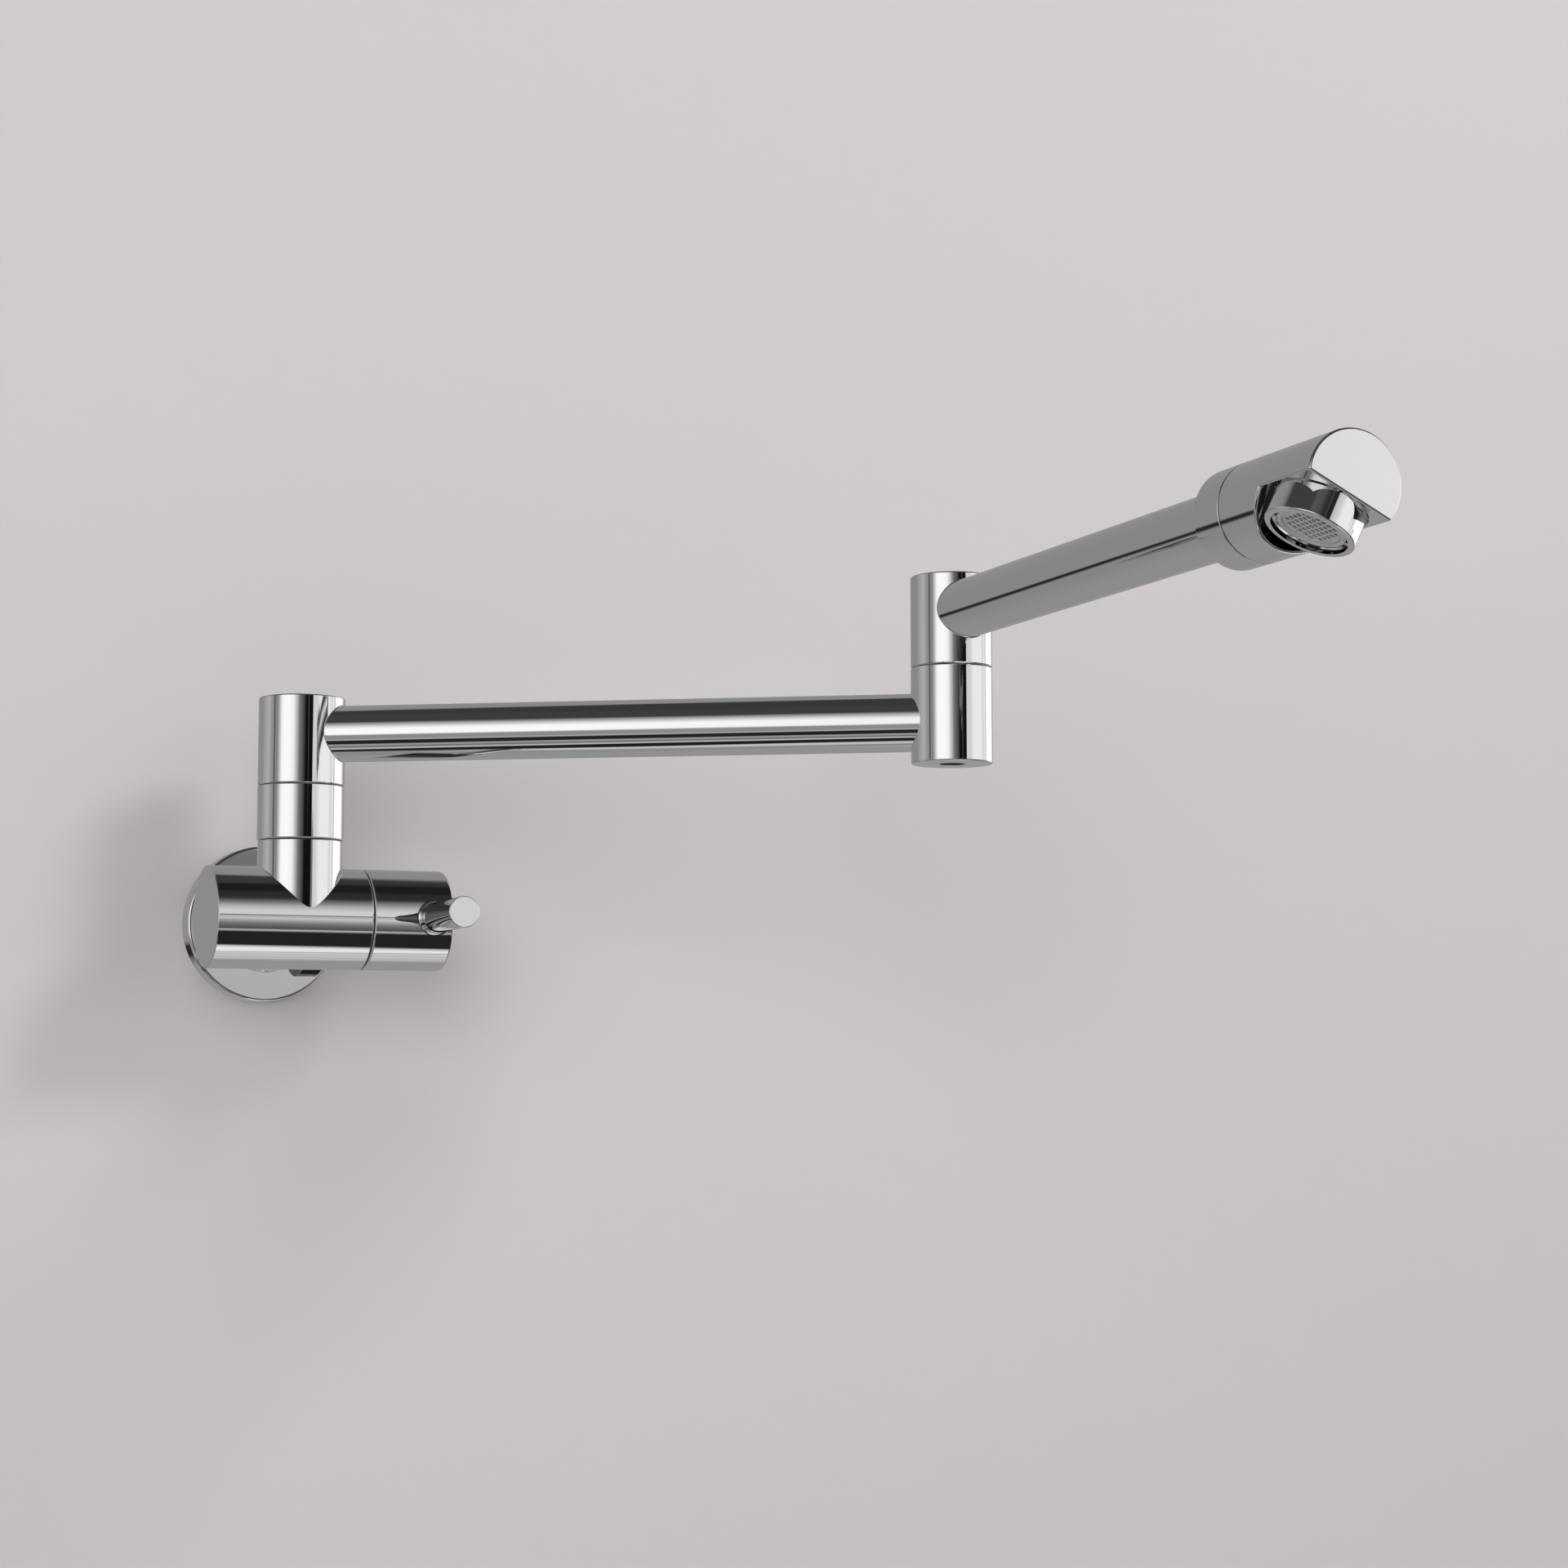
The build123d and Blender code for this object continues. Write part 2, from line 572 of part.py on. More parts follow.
def elbow_slide_washer():
    high = UPPER_HUB_BOTTOM - PLAY
    return arm_2_frame * ring(ELBOW_RADIUS - WASHER_STEP, JOURNAL + 4 * SLIP, high - WASHER, high)


def elbow_screw_washer():
    high = ELBOW_WEB[0] - 3 * PLAY
    return arm_2_frame * ring(ACCESS_HOLE - 4 * SLIP, SCREW + 2 * SLIP, high - SCREW_WASHER, high)


def elbow_screw():
    head = 2.6
    screw = Rot(180, 0, 0) * cap_screw(0, head, SCREW_REACH)
    return arm_2_frame * Pos(0, 0, ELBOW_WEB[0] - SCREW_WASHER - 4 * PLAY) * screw


# Hub that carries the second arm, closed at the top.
def elbow_upper_hub():
    hub = rod(ELBOW_RADIUS, UPPER_HUB_BOTTOM, ELBOW_TOP)
    hub = fillet(rims(hub, ELBOW_RADIUS, Axis.Z)[1], HUB_ROUND)
    hub = chamfer(rims(hub, ELBOW_RADIUS, Axis.Z)[0], EDGE_BREAK)
    hub -= rod(UNION_THREAD + SLIP, UPPER_HUB_BOTTOM - 1, UPPER_THREAD_TOP + SEAL_HEIGHT + 2 * PLAY)
    hub -= rod(UPPER_WAY, UPPER_THREAD_TOP, ARM_2_HEIGHT + PASSAGE)
    return arm_2_frame * (hub - tube_port(ARM_2_HEIGHT, 1))


# ---------------------------------------------------------------- arm tubes and collar

SPIGOT_END = 236.0          # end of the collar's spigot inside the head
COLLAR_RINGS = (225.6, 233.7)
GRUB_GROOVE = 229.6
COLLAR_SEAT = 216.0         # the tube stops here inside the collar
HEAD_JOURNAL = 10.0
HEAD_GRUB = 2.0             # radius and key of the M4 set screw


def arm_1_tube():
    start = TUBE_SEAT + PLAY
    tube = along_x(ring(TUBE_RADIUS, TUBE_RADIUS - TUBE_WALL, start, ARM_PITCH - start))
    return arm_1_frame * Pos(0, 0, ARM_1_HEIGHT) * tube


def arm_2_tube():
    tube = along_x(ring(TUBE_RADIUS, TUBE_RADIUS - TUBE_WALL, TUBE_SEAT + PLAY, COLLAR_SEAT - PLAY))
    return arm_2_frame * Pos(0, 0, ARM_2_HEIGHT) * tube


# Collar brazed on the second arm, with the spigot that the spout head turns on.
def head_collar():
    face = HEAD_SEAM - TURN_GAP / 2
    collar = rod(HEAD_RADIUS, COLLAR_START, face)
    low, high = rims(collar, HEAD_RADIUS, Axis.Z)
    collar = chamfer(low + high, EDGE_BREAK)
    collar += rod(HEAD_JOURNAL, face - 1, SPIGOT_END)
    collar -= rod(TUBE_RADIUS + SLIP, COLLAR_START - 1, COLLAR_SEAT)
    collar -= rod(WATERWAY, COLLAR_SEAT - 1, SPIGOT_END + 1)
    for height in COLLAR_RINGS:
        collar -= o_groove(HEAD_JOURNAL, height)
    track = (GRUB_GROOVE - HEAD_GRUB, GRUB_GROOVE + HEAD_GRUB)
    collar -= ring(HEAD_JOURNAL + 1, HEAD_JOURNAL - RELIEF, *track)
    return arm_2_frame * Pos(0, 0, ARM_2_HEIGHT) * along_x(collar)


def head_o_rings():
    centre = arm_2_frame * Pos(0, 0, ARM_2_HEIGHT)
    return [centre * along_x(o_ring(HEAD_JOURNAL, height)) for height in COLLAR_RINGS]


# ---------------------------------------------------------------- spout head

HEAD_BACK = HEAD_SEAM + TURN_GAP / 2
RING_TOP = 0.7              # the aerator's ring starts inside the flat
RECESS_DEPTH = 1.6          # of the groove round the ring
RECESS_WIDTH = 0.8
BORE_ROOF = 7.8             # aerator bore above the flat
THREAD_TOP = 5.9            # of the aerator, below its gasket
AERATOR_BORE = 11.0
AERATOR_MOUTH = 12.2        # widened mouth below the insert
MOUTH_DEPTH = 1.5
FLATS_WIDTH = 26.8          # wrench flats of the ring
FLATS_TOP = -0.4
FLATS_BOTTOM = -7.4
HEAD_WAY = 5.0              # waterway over the pocket, above the head's axis
HEAD_WAY_RISE = 2.5
HEAD_GRUB_ANGLE = -115.0    # the head's set screw is on its far, lower side


# Block milled flat below, open at the end, with a round-backed pocket round the aerator.
def spout_head():
    block = along_x(rod(HEAD_RADIUS, HEAD_BACK, HEAD_END))
    back, front = rims(block, HEAD_RADIUS, Axis.X)
    block = chamfer(back, EDGE_BREAK)
    block = fillet(rims(block, HEAD_RADIUS, Axis.X)[1], HEAD_ROUND)
    pocket = Pos(ARM_PITCH, 0, 0) * rod(POCKET_RADIUS, -HEAD_RADIUS - 4, -FLAT_DEPTH)
    pocket += Pos(ARM_PITCH + 15, 0, -FLAT_DEPTH - 10) * Box(30, 2 * POCKET_RADIUS, 20)
    milled = block - pocket
    block = fillet(new_edges(block, pocket, combined=milled), HEAD_ROUND)
    block -= Pos(ARM_PITCH, 0, -FLAT_DEPTH) * rod(AERATOR_RADIUS + RECESS_WIDTH, -1, RECESS_DEPTH)
    block -= Pos(ARM_PITCH, 0, -FLAT_DEPTH) * rod(AERATOR_THREAD + SLIP, -1, BORE_ROOF)
    block -= along_x(rod(HEAD_JOURNAL + SLIP, HEAD_BACK - 1, SPIGOT_END + 2 * WASHER_PLAY))
    block -= Pos(0, 0, HEAD_WAY_RISE) * along_x(rod(HEAD_WAY, HEAD_BACK, ARM_PITCH))
    block -= along_x(rod(HEAD_RADIUS - WASHER_STEP + WASHER_PLAY, HEAD_BACK - 1, HEAD_BACK + RECESS))
    grub = Pos(GRUB_GROOVE, 0, 0) * rod(HEAD_GRUB + SLIP, 0, HEAD_RADIUS + 1)
    return head_frame * (block - Rot(HEAD_GRUB_ANGLE, 0, 0) * grub)


def head_set_screw():
    sunk = 0.9
    tip = HEAD_JOURNAL - RELIEF + WASHER_PLAY
    screw = grub_screw(HEAD_GRUB, tip, HEAD_RADIUS - sunk, HEAD_GRUB)
    return head_frame * Rot(HEAD_GRUB_ANGLE, 0, 0) * Pos(GRUB_GROOVE, 0, 0) * screw


def head_slide_washer():
    low = HEAD_BACK - TURN_GAP + PLAY
    washer = ring(HEAD_RADIUS - WASHER_STEP, HEAD_JOURNAL + 4 * SLIP, low, low + WASHER)
    return head_frame * along_x(washer)


# Threaded ring of the aerator with two wrench flats.
def aerator_ring():
    rim = rod(AERATOR_RADIUS, -AERATOR_DROP, RING_TOP)
    rim = fillet(rims(rim, AERATOR_RADIUS, Axis.Z)[0], HUB_ROUND)
    shell = rim + rod(AERATOR_THREAD, 0, THREAD_TOP)
    shell -= rod(AERATOR_BORE, -AERATOR_DROP + MOUTH_DEPTH, BORE_ROOF)
    shell -= rod(AERATOR_MOUTH, -AERATOR_DROP - 1, -AERATOR_DROP + MOUTH_DEPTH)
    cutter = Box(AERATOR_RADIUS, 2 * AERATOR_RADIUS, FLATS_TOP - FLATS_BOTTOM)
    for side in (-1, 1):
        middle = side * (FLATS_WIDTH / 2 + AERATOR_RADIUS / 2)
        shell -= Pos(middle, 0, (FLATS_TOP + FLATS_BOTTOM) / 2) * cutter
    return aerator_frame * Rot(0, 0, AERATOR_CLOCKING) * shell


# Plastic flow straightener, a disc of small square channels in a rim.
def aerator_insert():
    low = -AERATOR_DROP + MOUTH_DEPTH + 2 * PLAY
    rim = AERATOR_BORE - 1.6
    cell = 2.1
    bar = 0.55
    grid_low = low + 0.6
    grid_high = low + 3.2
    insert = ring(AERATOR_BORE - 2 * SLIP, rim, low, THREAD_TOP - 2 * PLAY)
    grid = rod(rim + SLIP, grid_low, grid_high)
    steps = [step * cell for step in range(-4, 5)]
    holes = [
        Pos(x, y, grid_low) * Box(cell - bar, cell - bar, 3 * (grid_high - grid_low))
        for x in steps
        for y in steps
        if x * x + y * y < (rim - cell / 2) ** 2
    ]
    return aerator_frame * (insert + (grid - holes))


def aerator_gasket():
    bore = 8.5
    return aerator_frame * ring(AERATOR_THREAD - 4 * SLIP, bore, THREAD_TOP + PLAY, BORE_ROOF - PLAY)


# ---------------------------------------------------------------- nodes

nodes = {
    "wall_flange": wall_flange(),
    "flange_o_ring": flange_o_ring(),
    "inlet_nipple": inlet_nipple(),
    "inlet_o_rings": inlet_o_rings(),
    "neck_set_screw": neck_set_screw(),
    "valve_body": valve_body(),
    "cartridge_housing": body_frame * cartridge_housing(),
    "cartridge_o_ring": body_frame * cartridge_o_ring(),
    "seat_seal": body_frame * seat_seal(),
    "fixed_disc": body_frame * fixed_disc(),
    "moving_disc": handle_frame * moving_disc(),
    "cartridge_stem": handle_frame * cartridge_stem(),
    "stem_o_rings": [handle_frame * seal for seal in stem_o_rings()],
    "stem_clip": handle_frame * stem_clip(),
    "handle": handle_frame * handle(),
    "handle_insert": handle_frame * handle_insert(),
    "handle_set_screw": handle_frame * handle_set_screw(),
    "post_spindle": post_spindle(),
    "post_base_seal": post_base_seal(),
    "post_sleeve": post_sleeve(),
    "sleeve_gasket": sleeve_gasket(),
    "post_o_rings": post_o_rings(),
    "post_slide_washer": post_slide_washer(),
    "post_screw": post_screw(),
    "post_screw_washer": post_screw_washer(),
    "post_hub": post_hub(),
    "arm_1_tube": arm_1_tube(),
    "elbow_lower_hub": elbow_lower_hub(),
    "elbow_spindle": elbow_spindle(),
    "elbow_base_seal": elbow_base_seal(),
    "elbow_o_rings": elbow_o_rings(),
    "elbow_slide_washer": elbow_slide_washer(),
    "elbow_screw": elbow_screw(),
    "elbow_screw_washer": elbow_screw_washer(),
    "elbow_upper_hub": elbow_upper_hub(),
    "arm_2_tube": arm_2_tube(),
    "head_collar": head_collar(),
    "head_o_rings": head_o_rings(),
    "spout_head": spout_head(),
    "head_set_screw": head_set_screw(),
    "head_slide_washer": head_slide_washer(),
    "aerator_ring": aerator_ring(),
    "aerator_insert": aerator_insert(),
    "aerator_gasket": aerator_gasket(),
}

os.makedirs("parts", exist_ok=True)
for node, shape in nodes.items():
    solids = shape if isinstance(shape, list) else [shape]
    export_step(Compound(children=solids) if len(solids) > 1 else solids[0], f"parts/{node}.step")
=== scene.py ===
import json
import math
import bmesh
import bpy
import numpy as np
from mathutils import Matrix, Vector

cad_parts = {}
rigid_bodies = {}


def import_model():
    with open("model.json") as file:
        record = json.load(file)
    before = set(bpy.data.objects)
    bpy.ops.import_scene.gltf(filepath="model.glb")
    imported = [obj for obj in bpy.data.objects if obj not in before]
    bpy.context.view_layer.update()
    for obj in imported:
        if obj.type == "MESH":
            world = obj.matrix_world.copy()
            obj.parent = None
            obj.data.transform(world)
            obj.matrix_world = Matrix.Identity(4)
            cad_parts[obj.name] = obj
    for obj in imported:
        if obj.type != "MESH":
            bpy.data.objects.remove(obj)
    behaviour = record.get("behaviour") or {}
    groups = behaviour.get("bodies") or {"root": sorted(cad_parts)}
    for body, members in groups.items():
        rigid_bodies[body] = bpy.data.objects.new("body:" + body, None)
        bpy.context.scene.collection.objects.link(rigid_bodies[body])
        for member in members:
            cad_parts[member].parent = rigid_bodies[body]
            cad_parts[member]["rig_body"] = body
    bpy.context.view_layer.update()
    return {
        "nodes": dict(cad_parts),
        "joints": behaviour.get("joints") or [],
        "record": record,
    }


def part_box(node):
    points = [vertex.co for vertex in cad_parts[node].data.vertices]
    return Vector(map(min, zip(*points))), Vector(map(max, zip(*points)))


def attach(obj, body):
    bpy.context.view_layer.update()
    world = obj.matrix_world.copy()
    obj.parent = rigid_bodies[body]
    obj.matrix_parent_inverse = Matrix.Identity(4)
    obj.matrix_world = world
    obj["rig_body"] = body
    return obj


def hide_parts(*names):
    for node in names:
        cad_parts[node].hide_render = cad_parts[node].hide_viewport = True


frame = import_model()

print("frame loaded:", len(frame["nodes"]), "nodes")

# Shapes are worked out in millimetres and put into the meshes in metres, at their place on the wall.
mm = 0.001
joints = {joint["name"]: joint for joint in frame["joints"]}


def jointPoint(name):  # a joint's point, in millimetres
    return np.array(joints[name]["pos_m"]) / mm


def nodeBox(name):  # lowest and highest corner of a CAD node, in millimetres
    return [np.array(corner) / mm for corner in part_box(name)]


def unit(vectors):  # each vector divided by its length
    vectors = np.asarray(vectors, float)
    return vectors / np.linalg.norm(vectors, axis=-1, keepdims=True)


# A place is a 4 by 4 matrix. Its columns are the three axes and the origin. Z keeps its way, and X is turned
# square to it.
def place(origin, xAxis, zAxis):
    zAxis = unit(zAxis)
    yAxis = unit(np.cross(zAxis, xAxis))
    matrix = np.eye(4)
    matrix[:3, 0], matrix[:3, 1], matrix[:3, 2] = np.cross(yAxis, zAxis), yAxis, zAxis
    matrix[:3, 3] = origin
    return matrix


headRoll = math.radians(-26)  # the spout head is turned about the second arm
headDrop = 4.75  # milled flat, below the head's axis
right, back, up = np.eye(3)
postPoint, elbowPoint = jointPoint("arm_1_swing"), jointPoint("arm_2_swing")
headPoint = jointPoint("head_swivel")
bodyPoint = jointPoint("handle_turn") * (0, 1, 1)
postBase = postPoint * (1, 1, 0)
arm1Along = unit((elbowPoint - postPoint) * (1, 1, 0))
arm2Along = np.array(joints["head_swivel"]["axis"])
arm2Start = elbowPoint * (1, 1, 0) + headPoint * (0, 0, 1)
headAcross = np.cross(up, arm2Along)
headUp = math.cos(headRoll) * up - math.sin(headRoll) * headAcross
headSide = np.cross(headUp, arm2Along)
armPitch = np.linalg.norm((elbowPoint - postPoint)[:2])
aeratorPoint = arm2Start + armPitch * arm2Along - headDrop * headUp


# Closed outline with rounded corners. Each corner is (radius, height, rounding). Where the line turns, an arc of
# the rounding's radius touches both sides, with a point every step degrees. Returns points and outward normals,
# the line running anticlockwise.
def roundedOutline(corners, step):
    corners = np.array(corners, float)
    spots, rounding = corners[:, :2], corners[:, 2]
    following = np.roll(spots, -1, axis=0)
    area = np.sum(spots[:, 0] * following[:, 1] - following[:, 0] * spots[:, 1])
    if area < 0:  # the line runs clockwise
        spots, rounding = spots[::-1], rounding[::-1]
    points, normals = [], []
    for index in range(len(spots)):
        spot, before, after = spots[index], spots[index - 1], spots[(index + 1) % len(spots)]
        into, out = unit(spot - before), unit(after - spot)
        turn = math.atan2(into[0] * out[1] - into[1] * out[0], into @ out)
        count = max(2, math.ceil(abs(math.degrees(turn)) / step))
        angles = np.linspace(0, turn, count)
        facing = np.array([into[1], -into[0]])
        facings = np.stack([
            facing[0] * np.cos(angles) - facing[1] * np.sin(angles),
            facing[0] * np.sin(angles) + facing[1] * np.cos(angles),
        ], axis=1)
        side = math.copysign(1, turn)
        tangent = rounding[index] * abs(math.tan(turn / 2))
        centre = spot - into * tangent - side * rounding[index] * facing
        points.append(centre + side * rounding[index] * facings)
        normals.append(facings)
    return np.concatenate(points), np.concatenate(normals)


# Quads of a grid of points that closes both ways: the last row joins the first, and so do the columns.
def gridFaces(rows, columns):
    row, column = np.meshgrid(np.arange(rows), np.arange(columns), indexing="ij")
    nextRow, nextColumn = (row + 1) % rows, (column + 1) % columns
    quads = np.stack([
        row * columns + column,
        row * columns + nextColumn,
        nextRow * columns + nextColumn,
        nextRow * columns + column,
    ], axis=-1)
    return quads.reshape(-1, 4).tolist()


# Turned shape: the outline's radius is carried round the Z axis of its place, its height runs along it.
def turned(corners, at, around=192, step=12):
    outline, facing = roundedOutline(corners, step)
    angle = np.linspace(0, 2 * np.pi, around, endpoint=False)
    radial = np.stack([np.cos(angle), np.sin(angle), np.zeros(around)], axis=-1)
    axis = np.array([0, 0, 1.0])
    points = outline[:, 0, None, None] * radial + outline[:, 1, None, None] * axis
    normals = facing[:, 0, None, None] * radial + facing[:, 1, None, None] * axis
    return moved((points.reshape(-1, 3), gridFaces(len(outline), around), normals.reshape(-1, 3)), at)


# A shape carried from its own axes to its place.
def moved(shape, at):
    points, faces, normals = shape
    return points @ at[:3, :3].T + at[:3, 3], faces, normals @ at[:3, :3].T


# Several closed shells as one shape.
def together(*shapes):
    points, faces, normals, count = [], [], [], 0
    for shape in shapes:
        points.append(shape[0])
        normals.append(shape[2])
        faces += [[corner + count for corner in face] for face in shape[1]]
        count += len(shape[0])
    return np.concatenate(points), faces, np.concatenate(normals)


# Centres of a ball that rolls round a branch and touches the barrel too. The barrel lies along X and the
# branch along Z, offset in Y. The ball's centre is branch + ball from one axis and barrel + ball from the other.
def ballCentres(branch, barrel, ball, offset, around):
    angle = np.linspace(0, 2 * np.pi, around, endpoint=False)
    x = (branch + ball) * np.cos(angle)
    y = (branch + ball) * np.sin(angle) + offset
    return angle, np.stack([x, y, np.sqrt((barrel + ball) ** 2 - y ** 2)], axis=-1)


# Fillet bead where a branch leaves a barrel: the part of the rolling ball's surface between the two lines
# where it touches them, closed by three rows of points sunk into the metal.
def bead(branch, barrel, ball, at, offset=0.0, around=240, across=10, sunk=0.4):
    angle, centre = ballCentres(branch, barrel, ball, offset, around)
    toBranch = np.stack([-np.cos(angle), -np.sin(angle), np.zeros(around)], axis=-1)
    toBarrel = -unit(centre * (0, 1, 1))
    opening = np.arccos(np.clip(np.sum(toBranch * toBarrel, axis=-1), -1, 1))[:, None]
    share = np.linspace(0, 1, across)[:, None, None]
    arc = np.sin((1 - share) * opening) * toBranch + np.sin(share * opening) * toBarrel
    arc = arc / np.sin(opening)
    depth = ball + sunk
    inside = np.stack([centre + depth * toBarrel, centre + depth * (toBranch + toBarrel),
                       centre + depth * toBranch])
    points = np.concatenate([centre + ball * arc, inside])
    normals = np.concatenate([-arc, np.broadcast_to(-toBarrel, (3, around, 3))])
    faces = gridFaces(across + 3, around)
    shape = points.reshape(-1, 3), [face[::-1] for face in faces], normals.reshape(-1, 3)
    return moved(shape, at)


# Puts a shape into a mesh, in metres, with its worked-out normals, or smooth up to a sharp edge's angle.
def addPiece(name, shape, body, material, replaced=(), sharp=None):
    points, faces, normals = shape
    mesh = bpy.data.meshes.new(name)
    mesh.from_pydata((points * mm).tolist(), [], faces)
    mesh.polygons.foreach_set("use_smooth", [True] * len(mesh.polygons))
    if sharp is None:
        mesh.normals_split_custom_set_from_vertices(unit(normals).tolist())
    else:
        mesh.set_sharp_from_angle(angle=math.radians(sharp))
    return dress(bpy.data.objects.new(name, mesh), body, material, replaced)


# Gives a piece its material and the body that it rides on, and hides the nodes that it replaces.
def dress(piece, body, material, replaced=()):
    bpy.context.scene.collection.objects.link(piece)
    piece.data.materials.clear()
    piece.data.materials.append(material)
    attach(piece, body)
    if replaced:
        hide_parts(*replaced)
    return piece


tiny = 1e-9  # keeps a length of zero from being divided by


# Each surface gives, for many points at once, how far they lie off it and its normal there.
# Cylinder: the distance from the axis less the radius. The normal points away from the axis, in a bore to it.
def roundSurface(origin, axis, radius, hollow=False):
    def measure(points):
        rest = points - origin
        radial = rest - (rest @ axis)[:, None] * axis
        reach = np.linalg.norm(radial, axis=1, keepdims=True) + tiny
        return reach[:, 0] - radius, radial / reach * (-1 if hollow else 1)
    return measure


# Plane: the distance along the normal.
def flatSurface(origin, normal):
    def measure(points):
        return (points - origin) @ normal, np.broadcast_to(normal, points.shape)
    return measure


# Rounded rim: the distance from a circle round the axis less the rounding's radius.
def rimSurface(origin, axis, radius, rounding):
    def measure(points):
        rest = points - origin
        along = rest @ axis
        radial = rest - along[:, None] * axis
        reach = np.linalg.norm(radial, axis=1, keepdims=True) + tiny
        outward = radial - radial / reach * radius + along[:, None] * axis
        length = np.linalg.norm(outward, axis=1, keepdims=True) + tiny
        return length[:, 0] - rounding, outward / length
    return measure


# Fillet round a branch: the distance from the nearest centre of the rolling ball less the ball's radius.
def beadSurface(branch, barrel, ball, at, offset=0.0, around=1440):
    centres = ballCentres(branch, barrel, ball, offset, around)[1] @ at[:3, :3].T + at[:3, 3]
    def measure(points):
        near = np.argmin(np.linalg.norm(points[:, None] - centres[None], axis=2), axis=1)
        inward = centres[near] - points
        length = np.linalg.norm(inward, axis=1, keepdims=True) + tiny
        return length[:, 0] - ball, inward / length
    return measure


mergeDistance = 2e-7  # metres, for the corners that triangles share


# Copy of a CAD node with merged points and the exact normal of each surface it is made of, so that the
# mirror finish shows no facets. A triangle belongs to a surface when its corners lie within reach of it and its
# normal is alike. Edges sharper than the crease's angle stay sharp.
def polishedCopy(node, name, surfaces, material, extra=None, reach=0.012, alike=0.985, crease=32):
    source = frame["nodes"][node]
    work = bmesh.new()
    work.from_mesh(source.data)
    bmesh.ops.remove_doubles(work, verts=work.verts, dist=mergeDistance)
    mesh = bpy.data.meshes.new(name)
    work.to_mesh(mesh)
    work.free()
    mesh.polygons.foreach_set("use_smooth", [True] * len(mesh.polygons))
    mesh.set_sharp_from_angle(angle=math.radians(crease))
    corners = np.zeros(len(mesh.loops), np.int64)
    mesh.loops.foreach_get("vertex_index", corners)
    corners = corners.reshape(-1, 3)
    normals = np.zeros(len(mesh.loops) * 3)
    mesh.corner_normals.foreach_get("vector", normals)
    normals = normals.reshape(-1, 3, 3)
    facing = np.zeros(len(mesh.polygons) * 3)
    mesh.polygons.foreach_get("normal", facing)
    facing = facing.reshape(-1, 3)
    points = np.zeros(len(mesh.vertices) * 3)
    mesh.vertices.foreach_get("co", points)
    points = points.reshape(-1, 3) / mm
    free = np.ones(len(corners), bool)
    for surface in surfaces:
        distance, exact = surface(points)
        touching = (np.abs(distance)[corners] < reach).all(axis=1)
        agreeing = np.sum(unit(exact[corners].sum(axis=1) + 1e-12) * facing, axis=1) > alike
        chosen = touching & agreeing & free
        normals[chosen] = exact[corners[chosen]]
        free &= ~chosen
    mesh.normals_split_custom_set(normals.reshape(-1, 3).tolist())
    piece = dress(bpy.data.objects.new(name, mesh), source["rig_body"], material, [node])
    if extra is not None:
        addPiece(name + "_bead", extra, source["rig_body"], material)
    print("polished", node, len(corners), "triangles,", int(free.sum()), "left to smoothing")
    return piece


class Value:  # a shader socket that takes part in Python arithmetic
    def __init__(self, shader, socket):
        self.shader = shader
        self.socket = socket

    def math(self, operation, *others, clamp=False):
        node = self.shader.node("ShaderNodeMath", {"operation": operation, "use_clamp": clamp},
                                *((self,) + others))
        return Value(self.shader, node.outputs[0])

    def __add__(self, other):
        return self.math("ADD", other)

    def __mul__(self, other):
        return self.math("MULTIPLY", other)

    def __sub__(self, other):
        return self.math("SUBTRACT", other)

    def __rsub__(self, other):
        return self.math("MULTIPLY", -1.0).math("ADD", other)

    __radd__ = __add__
    __rmul__ = __mul__


class Shader:  # nodes of one material or of the world
    def __init__(self, owner):
        owner.use_nodes = True
        self.tree = owner.node_tree
        self.tree.nodes.clear()

    def node(self, kind, settings=None, *inputs, **named):
        node = self.tree.nodes.new(kind)
        for key, value in (settings or {}).items():
            setattr(node, key, value)
        for key, value in list(enumerate(inputs)) + list(named.items()):
            self.feed(node.inputs[key.replace("_", " ") if key in named else key], value)
        return node

    def feed(self, socket, value):  # a link where the value is a socket, otherwise a constant
        if isinstance(value, Value):
            value = value.socket
        if isinstance(value, bpy.types.NodeSocket):
            self.tree.links.new(value, socket)
        else:
            socket.default_value = value

    def value(self, kind, settings=None, *inputs, out=0, **named):
        return Value(self, self.node(kind, settings, *inputs, **named).outputs[out])

    def position(self):
        return self.node("ShaderNodeTexCoord").outputs["Object"]

    def noise(self, vector, scale, detail, roughness=0.5):
        return self.value("ShaderNodeTexNoise", None, Vector=vector, Scale=scale, Detail=detail,
                          Roughness=roughness)

    def blend(self, amount, first, second):  # the Mix node's colour sockets are its inputs 6 and 7
        node = self.node("ShaderNodeMix", {"data_type": "RGBA"}, amount)
        self.feed(node.inputs[6], first)
        self.feed(node.inputs[7], second)
        return node.outputs[2]


pattern = {"cloudDetail": 2.0, "grainDetail": 4.0, "grainRoughness": 0.6, "ior": 1.5}


